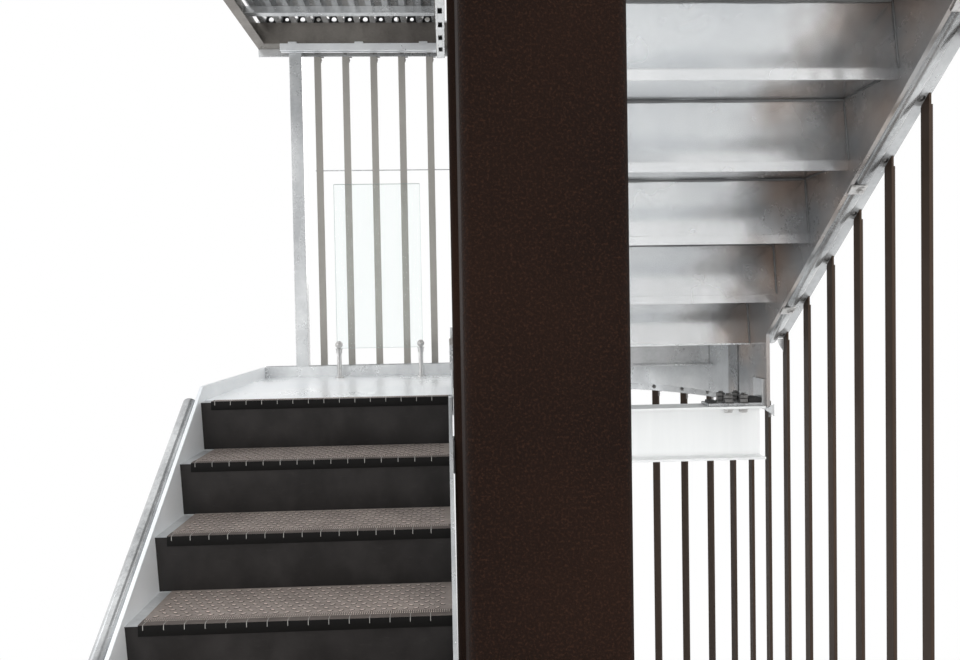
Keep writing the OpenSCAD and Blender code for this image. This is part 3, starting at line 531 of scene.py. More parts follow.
class StairFixingSizes(bpy.types.PropertyGroup):
    anchor: length("Anchor bolt", "Thread diameter of the holding-down bolts", 0.016)
    beam_bolt: length("Beam bolt", "Thread diameter of the bolts on the beams", 0.020)
    rail_bolt: length("Rail screw", "Thread diameter of the screws in the fin rails", 0.008)
    bead: length("Weld size", "Radius of a weld bead", 0.0032)
    cleat_pitch: length("Cleat pitch", "Spacing of the clamps along an edge tube, in plan", 0.524)
    slot_pitch: length("Slot pitch", "Spacing of the slots in the strut beside the well", 0.188)


class StairColours(bpy.types.PropertyGroup):
    zinc_light: colour("Light zinc", "Fresh zinc coat", (0.83, 0.842, 0.848))
    zinc_dark: colour("Dark zinc", "Dull patches in the zinc coat", (0.47, 0.482, 0.495))
    # Riser front colour: painted shade on the risers' fronts
    riser: colour("Riser front", "Dark satin coat on the risers' fronts", (0.0175, 0.0162, 0.0158))
    column: colour("Column", "Textured coat on the box columns", (0.0046, 0.0030, 0.0026))
    column_warm: colour("Warm column", "Warmer clouds in that coat", (0.021, 0.0098, 0.0060))
    rubber: colour("Rubber", "Nosings and sides of the tread covers", (0.0065, 0.0062, 0.006))
    # Tops of the covers: wear from feet, lightened as painted light on tops in shade
    trodden_and_lit: colour("Trodden rubber", "Tops of the tread covers", (0.42, 0.357, 0.322))
    fin: colour("Fins", "Dark brown coat on the side and corner fins", (0.042, 0.026, 0.017))
    # Back fins: same paint as the other fins, made paler as painted light
    back_fin: colour("Back fins", "Paler grey coat on the back fins", (0.33, 0.315, 0.292))
    beam: colour("Beams", "Pale coat on the beams", (0.80, 0.81, 0.81))
    steel: colour("Fittings", "Ground steel of clamps and screws", (0.60, 0.59, 0.58))
    notch: colour("Notches", "Pale inserts in the nosings", (0.44, 0.43, 0.41))
    panel: colour("Guard panels", "Tint of the clear panels", (0.955, 0.985, 0.98))


class StairStudio(bpy.types.PropertyGroup):
    fill: bpy.props.FloatProperty(name="Room light", default=0.72, min=0.0, max=2.0,
                                  description="Brightness of the pale room round the stair")
    key: power("Key light", "Power of the large light on the screened side", 500.0)
    front: power("Front light", "Power of the large light behind the viewer", 980.0)
    floor_size: length("Floor", "Half the width of the pale floor", 60.0)


# Operators

FINISH_NODES = {
    "textured_coat": ["near_column", "far_column", "base_plates"],
    "left_steps_zinc": ["left_steps_lower", "left_steps_upper"],
    "right_steps_zinc": ["right_steps_lower", "right_steps_upper"],
    "moulded_cover": ["step_covers_lower", "step_covers_upper"],
    "pale_coat": ["cantilever_beams"],
    "fin_coat": ["side_fins_lower", "side_fins_upper", "far_corner_fins_lower",
                 "far_corner_fins_upper", "near_corner_fins", "near_fins"],
    "lit_back_fin_coat": ["back_fins_lower", "back_fins_upper"],
    "clear_guard": ["guard_glass"],
    "ground_fitting": ["guard_spigots"],
    "dull_zinc": ["landing_fin_rails", "sloping_fin_rails", "base_rail", "top_rail", "fin_tie_rods",
                  "deck_joists", "beam_cleats", "gallery_deck", "near_landing_decks",
                  "back_left_post", "near_left_post"],
    "tube_zinc": ["stringer_tubes"],
    "shaded_zinc": ["gallery_channels"],
    "reflection_painted_zinc": ["outer_stringer_lower", "outer_stringer_upper"],
    "matt_zinc": ["wall_stringer_lower", "wall_stringer_upper"],
    "deck_zinc": ["lower_quarter_decks", "upper_quarter_decks"],
}

# Each zinc finish: factors on the light and the dark zinc, shine, roughness and strength of the
# painted brown reflection near the outer stringer
ZINC_FINISHES = {
    "bright_zinc": (1, 1, 0.6, 0.17, 0.0),
    "dull_zinc": (0.84, 0.78, 0.6, 0.17, 0.0),
    # Wall stringers: lighter base than plain zinc, painted light on their inner faces
    "matt_zinc": (1.12, 1.8, 0.12, 0.35, 0.0),
    "left_steps_zinc": (1, 1, 0.2, 0.3, 0.0),
    # Right steps: lighter base, painted light for the bright reflections under the pans, and the
    # painted brown reflection near the outer stringer
    "right_steps_zinc": (1.17, 1.72, 0.8, 0.11, 0.72),
    # Decks and gallery strut: lighter base, painted light for the bright sheen on the decks' tops
    "deck_zinc": (1.17, 1.95, 0.65, 0.24, 0.0),
    # Outer stringers: brown-grey painted reflection of their dark side and the fins
    "reflection_painted_zinc": (1, 1, 0.7, 0.15, 0.6),
    "tube_zinc": (0.88, 0.45, 0.8, 0.13, 0.0),
    # Gallery channels: darker, warmer copy of zinc, painted shade of the backlit channels
    "shaded_zinc": ((0.34, 0.31, 0.28), (0.30, 0.26, 0.23), 0.5, 0.25, 0.0),
    # Welds: real runs in a dark zinc, painted shade in the folds under the steps
    "weld_shade_zinc": (0.24, 0.24, 0.3, 0.3, 0.0),
}

# The way the riser fronts of a flight face along Y, for their painted shade
SHADED_FRONTS_FACE = {"left_steps_zinc": -1.0, "right_steps_zinc": 1.0}


class STAIR_OT_finishes(bpy.types.Operator):
    """Make every finish and give one to each part of the frame"""
    bl_idname = "stair.finishes"
    bl_label = "Finishes"

    def execute(self, context):
        c = context.scene.stair_colours
        for name, (light, dark, shine, rough, reflection_strength) in ZINC_FINISHES.items():
            zinc_coat(name, shade(c.zinc_light, light), shade(c.zinc_dark, dark), shine, rough,
                      tuple(c.riser), SHADED_FRONTS_FACE.get(name, 0.0), reflection_strength)
        sand_coat("textured_coat", tuple(c.column), tuple(c.column_warm))
        moulded_rubber("moulded_cover", tuple(c.rubber), tuple(c.trodden_and_lit))
        # Dash tops near white: painted highlight on the raised dashes
        moulded_rubber("raised_pattern_highlight", shade(c.trodden_and_lit, 0.12), shade(c.trodden_and_lit, 2.35))
        moulded_rubber("nosing_rubber", tuple(c.rubber), shade(c.trodden_and_lit, 0.4))
        smooth_coat("notch_insert", tuple(c.notch), 0.2, 0.5)
        smooth_coat("fin_coat", tuple(c.fin), 0.3, 0.45, 0.2)
        # The back fins' paler colour is painted light on the fins' paint
        smooth_coat("lit_back_fin_coat", tuple(c.back_fin), 0.15, 0.45, 0.3)
        smooth_coat("pale_coat", tuple(c.beam), 0.06, 0.42)
        smooth_coat("cap_black", (0.02, 0.02, 0.02), 0.3, 0.5)
        smooth_coat("panel_edge", (0.36, 0.5, 0.48), 0.2, 0.18)
        ground_steel("ground_fitting", tuple(c.steel))
        ground_steel("dark_fitting", shade(c.steel, 0.35), 0.38)
        clear_panel("clear_guard", tuple(c.panel))
        given = {n: f for f, names in FINISH_NODES.items() for n in names}
        for name, node in NODES.items():
            node.data.materials.clear()
            node.data.materials.append(finish(given.get(name, "bright_zinc")))
        return {"FINISHED"}


def cover_places(part, storey):
    """Corner and turn of each tread cover. Its axes run along the nosing, back from it, and up."""
    i = np.arange(1, LEFT_RISERS + 1)
    j = np.arange(1, RIGHT_RISERS + 1)
    side = OUTER_X - COVER_GAP
    left = np.stack([np.full(LEFT_RISERS, -side), (i - LEFT_RISERS) * GOING, i * RISER], 1)
    right = np.stack([np.full(RIGHT_RISERS, side), -RIGHT_START - (j - 1) * GOING,
                      UPPER + j * RISER], 1)
    ahead, about = np.eye(3), np.diag([-1.0, -1.0, 1.0])
    if part == "treads":
        places = np.concatenate([left[:-1], right[:-1]])
        turns = [ahead] * (LEFT_RISERS - 1) + [about] * (RIGHT_RISERS - 1)
    elif part == "heads":
        places, turns = np.stack([left[-1], right[-1]]), [ahead, about]
    else:
        places, turns = np.array([[-0.105, BACK_Y - 0.001, UPPER]]), [QUARTER_TURN.T]
    return places + storey * STOREY * UP, np.stack(turns)


def dash(s):
    """One raised dash: a six-pointed outline carried up and drawn in by a quarter."""
    x, y = s.dash_long / 2, s.dash_wide / 2
    k = 0.55 * x
    outline = np.array([[x, 0], [k, y], [-k, y], [-x, 0], [-k, -y], [k, -y]])
    return stacked([(outline, -0.0004), (outline * 0.72, s.dash_high)])


def tick(s):
    """One small rib: a four-pointed outline carried up and drawn in."""
    x, y = s.tick_pitch * 0.29, 0.0048
    outline = np.array([[x, y], [-x, y], [-x, -y], [x, -y]])
    return stacked([(outline, 0.0004), (outline * 0.6, 0.0019)])


def in_plane(angle):
    """A turn about the upright axis, by an angle in degrees."""
    a = np.radians(angle)
    return np.array([[np.cos(a), -np.sin(a), 0], [np.sin(a), np.cos(a), 0], [0, 0, 1]])


def nosing_edge(radius, step):
    """Quarter round over the nosing's front edge, from its top to its face."""
    return radius * directions(np.radians(np.arange(90, 181, step))) - [0.0008, 0.0042]


def nosing(long):
    """The section carried along the nosing: flat top, a quarter round in front, an upright face."""
    top = [[0.050, -0.0015], [0.050, 0.0004], [0.0484, 0.0010]]
    front = [[-0.0060, -0.0358], [-0.0052, -0.0368], [-0.0038, -0.0368], [-0.0038, -0.0015]]
    section = np.concatenate([top, nosing_edge(0.0052, 15), front])
    return carried(section, [[0, 0, 0], [long, 0, 0]], Y)


def notches(s, long):
    """Pale notches along a nosing, each half a millimetre proud of its top, edge and front."""
    line = np.concatenate([[[0.0230, 0.0013]], nosing_edge(0.0055, 22.5), [[-0.0063, -0.0165]]])
    run = np.gradient(line, axis=0)
    run /= np.linalg.norm(run, axis=1, keepdims=True)
    away = np.stack([run[:, 1], -run[:, 0]], 1)
    zeros = np.zeros((len(line), 1))
    w, h = s.notch_wide / 2, 0.0006
    one = carried([[-w, -h], [w, -h], [w * 0.7, h], [-w * 0.7, h]],
                  np.concatenate([zeros, line], 1), X, np.concatenate([zeros, away], 1))
    n = int(long / s.notch_pitch)
    a = (long - (n - 1) * s.notch_pitch) / 2 - 0.028 + s.notch_pitch * np.arange(n)
    return copies(one, spots(a[a > 0.006], [0.0], [0.0]))


def tread_pattern(s, long, rows):
    """Dashes in staggered rows of opposite slant, and two rows of ticks behind the nosing."""
    parts = []
    if rows:
        n = int((long - 0.03) / s.dash_pitch)
        start = (long - (n - 0.5) * s.dash_pitch) / 2
        for r in range(rows):
            a = start + s.dash_pitch * (np.arange(n) + (0.5 if r % 2 else 0.0))
            a = a[a < long - 0.012]
            parts.append(copies(dash(s), spots(a, [0.066 + r * s.dash_row], [0.0]),
                                in_plane(-34 if r % 2 else 34)))
    n = int((long - 0.01) / s.tick_pitch)
    a = (long - (n - 1) * s.tick_pitch) / 2 + s.tick_pitch * np.arange(n)
    parts.append(copies(tick(s), spots(a, [0.0285, 0.0415], [0.0])))
    return joined(parts)


class STAIR_OT_tread_pattern(bpy.types.Operator):
    """Raise the dashes, ticks, nosings and pale notches on the tread covers"""
    bl_idname = "stair.tread_pattern"
    bl_label = "Tread pattern"

    def execute(self, context):
        s = context.scene.stair_pattern
        wide = OUTER_X - TREAD_X - COVER_GAP
        shapes = {"treads": (wide, 9), "heads": (wide, 0), "split": (BACK_Y - 0.002, 0)}
        for storey, label in STOREYS:
            raised, edges, pale = [], [], []
            for part, (long, rows) in shapes.items():
                at = cover_places(part, storey)
                raised.append(copies(tread_pattern(s, long, rows), *at))
                edges.append(copies(nosing(long), *at))
                pale.append(copies(notches(s, long), *at))
            piece(f"tread_dashes_{label}", raised, "raised_pattern_highlight")
            piece(f"nosings_{label}", edges, "nosing_rubber")
            piece(f"nosing_notches_{label}", pale, "notch_insert")
        return {"FINISHED"}


def bead(start, end, radius, step=0.009):
    """Weld run: a five-sided ring carried along, its radius swelling by a fifth every 12 mm."""
    start, end = np.asarray(start, float), np.asarray(end, float)
    far = np.linalg.norm(end - start)
    s = np.linspace(0, far, max(3, int(far / step) + 1))
    run = (end - start) / far
    turn = facing(run)[0]
    swell = radius * (1 + 0.2 * np.sin(2 * np.pi * s / 0.012 + 1.7 * np.sin(s * 21)))
    swell[[0, -1]] *= 0.5
    ring = directions(steps_round(5, 0)) @ turn[:, :2].T
    return grid_solid(start + s[:, None, None] * run + swell[:, None, None] * ring[None])


def foot_welds(x, y, half, corner, z, radius):
    """Runs along the four sides of a square foot, as far as its corners' radius."""
    h, c = half, half - corner
    sides = ((-c, -h, c, -h), (h, -c, h, c), (c, h, -c, h), (-h, c, -h, -c))
    return [bead((x + x0, y + y0, z), (x + x1, y + y1, z), radius) for x0, y0, x1, y1 in sides]


class STAIR_OT_welds(bpy.types.Operator):
    """Lay the weld runs under the steps, along the edge plates and round the feet of the columns;
    the runs on the steps and landings are a dark zinc that paints the shade in the folds
    """
    bl_idname = "stair.welds"
    bl_label = "Welds"

    def execute(self, context):
        r = context.scene.stair_fixings.bead
        for storey, label in STOREYS:
            runs = []
            # Under each plate and down its riser at both ends, and along the fold under the nosing
            for part, back in (("treads", 0.3095), ("heads", 0.056)):
                ends = []
                for a in (-0.0435, 1.0175):
                    ends.append(bead((a, 0.012, -0.0112), (a, back, -0.0112), r))
                    ends.append(bead((a, 0.0095, -0.014), (a, 0.0378, -0.212), r))
                if part == "treads":
                    y, z = 0.0112, -0.0136
                    ends.append(bead((-0.042, y, z), (1.016, y, z), r * 1.2, 0.012))
                runs.append(copies(joined(ends), *cover_places(part, storey)))
            # Upright where the outer stringer meets the landing, and along the quarter landings
            floor, x, y = storey * STOREY, OUTER_X - 0.001, 0.069
            runs.append(bead((x, y, floor + EDGE_Z + 0.004), (x, y, floor + UPPER - 0.012),
                             r * 0.8))
            z = floor + LANDING - 0.008
            for y0, x in ((0.062, -0.109), (-0.02, -0.103)):
                runs.append(bead((x, y0, z), (x, 1.180, z), r, 0.012))
            # Dark zinc on these runs paints the shade in the folds and joints
            piece(f"welds_{label}", runs, "weld_shade_zinc")
        rings = []
        for x, y, side in COLUMNS:
            rings += foot_welds(x, y, side / 2 + 0.001, 0.012, FOOT_T + 0.0015, r * 1.3)
        for x, y in POSTS:
            rings += foot_welds(x, y, 0.0355, 0.0, FOOT_T + 0.0012, r)
        piece("foot_welds", rings, "textured_coat")
        return {"FINISHED"}


def side_nosings(y):
    """Height of the right flight's line of nosings at y, above its storey's floor."""
    return UPPER + RISER - (y + RIGHT_START) * RISE


def side_low(y):
    """Height of the lower edge tube's middle at y, above its storey's floor."""
    return side_nosings(y) - STRING_DROP + TUBE_OFF


def side_high(y):
    """Height of the upper edge tube's middle at y, above its storey's floor."""
    return side_nosings(y) + STRING_TOP - TUBE_OFF


def left_high(y):
    """Height of the left flight's edge tube's middle at y."""
    return LANDING + y * RISE + STRING_TOP - TUBE_OFF


BACK_FINS_X = np.array([CORNER_X - min(k, 2) * FIN_PITCH - max(k - 2, 0) * LEFT_FIN_PITCH
                        for k in range(1, 7)])
CORNER_TURNS = np.radians(np.arange(0, 91, 10))
SIDE_Y = CORNER_Y - FIN_PITCH * np.arange(1, 14)


def level_rails():
    """Fins on the level rails, as sets of points in plan on the rail's inner face, directions back
    towards the landing, and the heights of the rails' middles."""
    under, over = -RAIL_HALF - FIT, EDGE_UP - RAIL_HALF + FIT
    low_z = [EDGE_Z + under, EDGE_Z + under + STOREY]
    over_z = [UPPER + over, UPPER + over + STOREY]
    top_z = [TOP - DROP + under, TOP - DECK - under]
    near_z = [floor + h for floor in (STOREY, TOP) for h in (-DROP + under, over)]
    far_z = low_z + over_z + top_z
    left_z = low_z + [h - RISER for h in over_z] + top_z
    arc = directions(CORNER_TURNS)
    near_arc = arc * [1, -1]

    def along_side(y):
        return np.stack([np.full(len(y), FIN_X - RAIL_T), y], 1)

    def along_x(x, y):
        return np.stack([x, np.full(len(x), y)], 1)

    back, near = BACK_Y + FIN_GAP - RAIL_T, NEAR_Y - FIN_GAP + RAIL_T
    sets = [((CORNER_X, CORNER_Y) + arc * (FIN_R - RAIL_T), -arc, far_z),
            (along_side(SIDE_Y[SIDE_Y > LOW_TUBE_Y]), (-1, 0), far_z),
            (along_x(BACK_FINS_X[:1], back), (0, -1), far_z),
            (along_x(BACK_FINS_X[1:], back), (0, -1), left_z),
            ((CORNER_X, NEAR_CORNER_Y) + near_arc * (FIN_R - RAIL_T), -near_arc, near_z),
            (along_side(SIDE_Y[SIDE_Y < HIGH_TUBE_Y]), (-1, 0), near_z),
            (along_x(BACK_FINS_X[:1], near), (0, 1), near_z),
            (along_x(BACK_FINS_X[1:], near), (0, 1), near_z[1:])]
    return [(plan, np.broadcast_to(inward, plan.shape), heights) for plan, inward, heights in sets]


def fin_heads():
    """Plan place, outward direction and height of each fin's head under a level rail."""
    found = []
    for plan, inward, heights in level_rails():
        for h in heights:
            level = (h + RAIL_HALF + FIT) % STOREY
            if min(abs(level - EDGE_Z), abs(level - (STOREY - DROP))) < 0.002:
                found.append((plan, -inward, h - RAIL_HALF - FIT))
    return found


class STAIR_OT_screen_fixings(bpy.types.Operator):
    """Fit the screws of the fin rails and the brackets at the fins' heads"""
    bl_idname = "stair.screen_fixings"
    bl_label = "Screen fixings"

    def execute(self, context):
        screw = button_head(context.scene.stair_fixings.rail_bolt)
        screws = []
        for plan, inward, heights in level_rails():
            for h in heights:
                screws.append(copies(screw, at_height(plan, h), facing(at_height(inward, 0))))
        y = SIDE_Y[(SIDE_Y <= LOW_TUBE_Y) & (SIDE_Y >= HIGH_TUBE_Y)]
        for height, away in ((side_low, UNDER_SLOPE), (side_high, -UNDER_SLOPE)):
            at = np.stack([np.full(len(y), 1.2735), y, height(y)], 1) + away * RAIL_T / 2
            screws.append(on_both_storeys(screw, at, facing(away)))
        piece("fin_rail_screws", screws, "dark_fitting")

        # Angle bracket: one leg up the fin's side, the other under the rail
        leg = [[0, 0], [0.018, 0], [0.018, -0.003], [0.003, -0.003], [0.003, -0.030], [0, -0.030]]
        angle = joined([carried(leg, [[0, 0, 0], [0, 0.0116, 0]], X),
                        copies(button_head(0.0045), [0.003, 0.0058, -0.017], facing(X))])
        brackets = []
        for plan, out, h in fin_heads():
            out = at_height(out, 0)
            across = np.cross(out, UP)
            turns = np.stack([across, out, np.broadcast_to(UP, out.shape)], -1)
            at = at_height(plan, h - 0.0002) + across * 0.0201 + out * 0.0083
            brackets.append(copies(angle, at, turns))
        piece("fin_brackets", brackets, "dark_fitting")
        return {"FINISHED"}


class STAIR_OT_tube_clamps(bpy.types.Operator):
    """Fit the clamps that hold the edge tubes to the stringers, and the tubes' end caps"""
    bl_idname = "stair.tube_clamps"
    bl_label = "Tube clamps"

    def execute(self, context):
        y = -0.356 - context.scene.stair_fixings.cleat_pitch * np.arange(4)
        # Axes of the saddle: across the tube, up the slope, and away from the tube
        saddle = joined([
            block((0.052, 0.040, 0.0035), (0.010, 0, 0.0012), 0.0008),
            block((0.016, 0.034, 0.006), (0.030, 0, 0.0035), 0.001),
            copies(hex_head(0.009), [0.0, -0.004, 0.0028]),
            turned([(0.014, 0.0027), (0.014, 0.004), (0.0135, 0.0044)], 16)])
        solids = []
        for across, height, away in ((-X, side_low, UNDER_SLOPE), (X, side_high, -UNDER_SLOPE)):
            at = np.stack([np.full(4, TUBE_X), y, height(y)], 1) + away * (TUBE_R - 0.0002)
            solids.append(on_both_storeys(saddle, at, np.stack([across, SLOPE, away], -1)))
        piece("tube_clamps", solids, "ground_fitting")

        cap = turned([(0.0262, -0.004), (0.0262, 0.0), (0.0296, 0.0002), (0.0298, 0.002),
                      (0.0275, 0.0036)], 24)
        caps = []
        for x, y0, y1, height, run in ((TUBE_X, LOW_TUBE_Y, HIGH_TUBE_Y, side_low, SLOPE),
                                       (TUBE_X, LOW_TUBE_Y, HIGH_TUBE_Y, side_high, SLOPE),
                                       (-TUBE_X, LEFT_TUBE_Y, 0.0, left_high, LEFT_SLOPE)):
            ends = [[x, y0, height(y0)], [x, y1, height(y1)]]
            caps.append(on_both_storeys(cap, ends, facing([-run, run])))
        piece("tube_caps", caps, "dull_zinc")
        return {"FINISHED"}


class STAIR_OT_beam_fixings(bpy.types.Operator):
    """Bolt the beams to the columns and to the brackets on them, with their packers"""
    bl_idname = "stair.beam_fixings"
    bl_label = "Beam fixings"

    def execute(self, context):
        d = context.scene.stair_fixings.beam_bolt
        drops = (0.055, 0.110, 0.165)    # of the bolts in a beam's end, below its top
        flange = ([1.033, 1.096], either_side(BEAM_Y, 0.045))
        nuts = on_both_storeys(locked_nut(d, 0.042), spots(*flange, [BEAM_TOP + CLEAT_T]))
        end_head = hex_head(d * 0.8)
        far = spots([0.112], either_side(BEAM_Y, 0.040), [BEAM_TOP - h for h in drops])
        near = spots([0.115], either_side(NEAR_BEAM_Y, 0.040),
                     [floor - DECK - h for floor in (STOREY, TOP) for h in drops])
        heads = [on_both_storeys(hex_head(d), spots(*flange, [BEAM_TOP - 0.0103]), facing(-UP)),
                 on_both_storeys(end_head, far, facing(X)),
                 copies(end_head, near, facing(X)), copies(end_head, near * [-1, 1, 1], facing(-X))]
        piece("beam_bolts", [nuts], "dark_fitting")
        piece("beam_bolt_heads", heads, "ground_fitting")

        z = BEAM_TOP + CLEAT_T
        packers = joined([
            block((0.052, 0.088, 0.020), (OUTER_X - 0.040, BEAM_Y, z + 0.0101), 0.002),
            block((0.030, 0.060, 0.012), (0.968, BEAM_Y - 0.02, z + 0.0063), 0.002)])
        piece("beam_packers", [on_both_storeys(packers)], "cap_black")

        # Plate at the end of each beam, and the one under the lower end of each sloping fin rail
        end = [[1.1815, 1.2072], [1.2140, 1.2270], [1.2140, 1.1760], [1.2040, 1.1860],
               [1.1815, 1.1990]]
        rail = [[1.2612, 1.4915], [1.2968, 1.4915], [1.2968, 1.4700], [1.2866, 1.4365],
                [1.2700, 1.4640]]
        plates = joined([carried(outline, [[0, y, 0], [0, y + thick, 0]], X)
                         for outline, y, thick in ((end, -0.2516, 0.006), (rail, -0.1806, 0.005))])
        piece("end_plates", [on_both_storeys(plates)], "bright_zinc")
        return {"FINISHED"}


def pierced(wide, high, radius, thick, sides=28):
    """Plate round a hole: four rings joined round the section and round the hole. The outer two are
    the hole's circle, pushed out to the rectangle along each radius."""
    t = steps_round(sides)
    hole, ring = directions(t), directions(t)
    reach = np.minimum(wide / 2 / np.maximum(np.abs(ring[:, 0]), 1e-6),
                       high / 2 / np.maximum(np.abs(ring[:, 1]), 1e-6))
    corner = np.arctan2(high, wide)
    for c in (corner, np.pi - corner, np.pi + corner, 2 * np.pi - corner):
        k = np.argmin(np.abs(t - c))
        ring[k] = np.cos(c), np.sin(c)
        reach[k] = np.hypot(wide, high) / 2
    outer, inner = ring * reach[:, None], hole * radius
    rows = [(outer, -thick / 2), (inner, -thick / 2), (inner, thick / 2), (outer, thick / 2)]
    points = np.concatenate([at_height(outline, z) for outline, z in rows])
    i, j = np.arange(4)[:, None], np.arange(sides)[None, :]
    k, above = (j + 1) % sides, (i + 1) % 4
    faces = np.stack([i * sides + j, i * sides + k, above * sides + k, above * sides + j], -1)
    return outward(points, [faces.reshape(-1, 4)])


class STAIR_OT_gallery_soffit(bpy.types.Operator):
    """Close the gallery's flutes with pierced strips, and set the angles and strut under it"""
    bl_idname = "stair.gallery_soffit"
    bl_label = "Gallery soffit"

    def execute(self, context):
        pitch = 0.090
        x = -1.1935 + pitch * np.arange(1, 12)
        upright = np.stack([X, -UP, Y], -1).T
        cells = [copies(pierced(pitch, 0.0440, radius, 0.002),
                        spots(x[first::2], [1.2074], [TOP - 0.0275]), upright)
                 for first, radius in ((0, 0.0140), (1, 0.0105))]
        piece("flute_closers", cells, "cap_black")

        outline = [[0, 0], [0, 0.0535], [-0.006, 0.0535], [-0.006, 0.0065], [-0.0455, 0.0065],
                   [-0.048, 0.004], [-0.048, 0]]
        z = 6.6162
        angles = [carried(outline, [[-1.1858, y, z], [-0.1194, y, z]], Y)
                  for y in (0.951, 0.051, -0.849, -1.749)]
        piece("gallery_angles", angles, "bright_zinc")

        # Lipped strut hung across the back of the gallery on three packers, with its open side down
        section = [[0, 0.041], [0, 0], [0.011, 0], [0.011, 0.0035], [0.0035, 0.0035],
                   [0.0035, 0.0375], [0.0375, 0.0375], [0.0375, 0.0035], [0.030, 0.0035],
                   [0.030, 0], [0.041, 0], [0.041, 0.041]]
        y, z = 1.160, 6.500
        hung = [carried(section, [[-1.050, y, z], [-0.1540, y, z]], Y),
                copies(block((0.050, 0.036, 0.0120), bevel=0.002),
                       spots([-0.980, -0.600, -0.230], [y + 0.0205], [z + 0.0466]))]
        # The strut takes the lighter deck zinc: painted light on it where it sits in the gallery's
        # shade
        piece("gallery_strut", hung, "deck_zinc")
        return {"FINISHED"}


class STAIR_OT_anchors(bpy.types.Operator):
    """Set the holding-down bolts of the columns and posts, and the wall bolts"""
    bl_idname = "stair.anchors"
    bl_label = "Anchor and wall bolts"

    def execute(self, context):
        d = context.scene.stair_fixings.anchor
        studs = []
        for feet, wide, long, size in ((COLUMNS, 0.280, 0.280, d), (POSTS, 0.130, 0.040, d * 0.75)):
            for x, y, *_ in feet:
                at = spots(either_side(x, wide / 2), either_side(y, long / 2), [FOOT_T])
                studs.append(copies(nut_on_stud(size, size * 2.2), at))
        piece("anchor_bolts", studs, "ground_fitting")
        z = LANDING - 0.060
        at = spots([-OUTER_X], [0.196, 0.996], [z, z + STOREY])
        piece("wall_bolts", [copies(hex_head(d), at, facing(X))], "ground_fitting")
        return {"FINISHED"}


def panel_rim(wide):
    """Polished rim of a clear panel: a thin strip along its four edges."""
    t, w = 0.0012, 0.0108
    return joined([
        block((t, w, PANEL_H), (-t / 2, 0, PANEL_H / 2), 0.0003),
        block((t, w, PANEL_H), (wide + t / 2, 0, PANEL_H / 2), 0.0003),
        block((wide, w, t), (wide / 2, 0, PANEL_H + t / 2), 0.0003),
        block((wide, w, t), (wide / 2, 0, -t / 2), 0.0003)])


class STAIR_OT_guard_clamps(bpy.types.Operator):
    """Fit the clamps that hold the clear panels on their spigots, and the panels' polished edges"""
    bl_idname = "stair.guard_clamps"
    bl_label = "Guard clamps"

    def execute(self, context):
        collar = turned([(0.0132, -0.030), (0.0165, -0.028), (0.0165, -0.012), (0.0195, -0.006),
                         (0.0195, -0.0012), (0.016, -0.0004)], 20)
        disc = turned([(0.0185, 0), (0.0200, 0.0012), (0.0200, 0.0062), (0.0186, 0.0078),
                       (0.0105, 0.0084)], 28)
        seat = block((0.024, 0.027, 0.012), (0, 0, -0.0067), 0.002)
        clamp = [collar, seat]
        for side in (Y, -Y):
            for part, out in ((disc, 0.0063), (button_head(0.008), 0.0146)):
                clamp.append(copies(part, side * out + UP * 0.020, facing(side)))
        clamp = joined(clamp)
        z, top = LANDING + PANEL_UP, TOP + PANEL_UP
        half = spots([-0.740, -0.275], [PANEL_Y], [z, z + STOREY])
        ends = [y + at for y in GALLERY_PANELS_Y for at in (0.150, 0.930)]
        well = spots([GALLERY_PANEL_X], ends, [top])
        piece("guard_clamps", [copies(clamp, half), copies(clamp, well, QUARTER_TURN)],
              "ground_fitting")
        rims = [copies(panel_rim(HALF_PANEL), spots([-0.750], [PANEL_Y], [z, z + STOREY])),
                copies(panel_rim(GALLERY_PANEL), spots([GALLERY_PANEL_X], GALLERY_PANELS_Y, [top]),
                       QUARTER_TURN)]
        piece("guard_rims", rims, "panel_edge")
        return {"FINISHED"}


class STAIR_OT_well_strut(bpy.types.Operator):
    """Hang the slotted strut under the gallery, beside the well"""
    bl_idname = "stair.well_strut"
    bl_label = "Slotted strut"

    def execute(self, context):
        pitch = context.scene.stair_fixings.slot_pitch
        low, high = np.array([-0.1530, -2.150, 6.460]), np.array([-0.1060, 1.180, 6.502])
        middle, (wide, far, deep) = (low + high) / 2, high - low
        t, lip = 0.0025, 0.0125
        solids = []
        # The two upright sides and the lips under them
        for side in (-1, 1):
            for size, depth, z in ((t, deep, middle[2]), (lip, t, low[2] + t / 2)):
                x = middle[0] + side * (wide - size) / 2
                solids.append(block((size, far, depth), (x, middle[1], z), 0.0006))
        y = high[1] - 0.055 - pitch * np.arange(int(far / pitch))
        solids.append(copies(block((wide - 2 * lip + 0.001, pitch - 0.072, t), bevel=0.0006),
                             spots([middle[0]], y, [low[2] + t / 2])))
        hangers = np.linspace(low[1] + 0.12, high[1] - 0.12, 5)
        solids.append(copies(block((0.030, 0.030, 0.050), bevel=0.002),
                             spots([middle[0]], hangers, [high[2] + 0.0235])))
        piece("well_strut", solids, "bright_zinc")
        # Black sheet inside the strut, behind its slots: painted shade, so the slots read dark
        shade_sheet = block((wide - 2 * t - 0.001, far - 0.004, 0.004), (*middle[:2], low[2] + 0.020))
        piece("well_strut_shade_sheet", [shade_sheet], "cap_black")
        return {"FINISHED"}


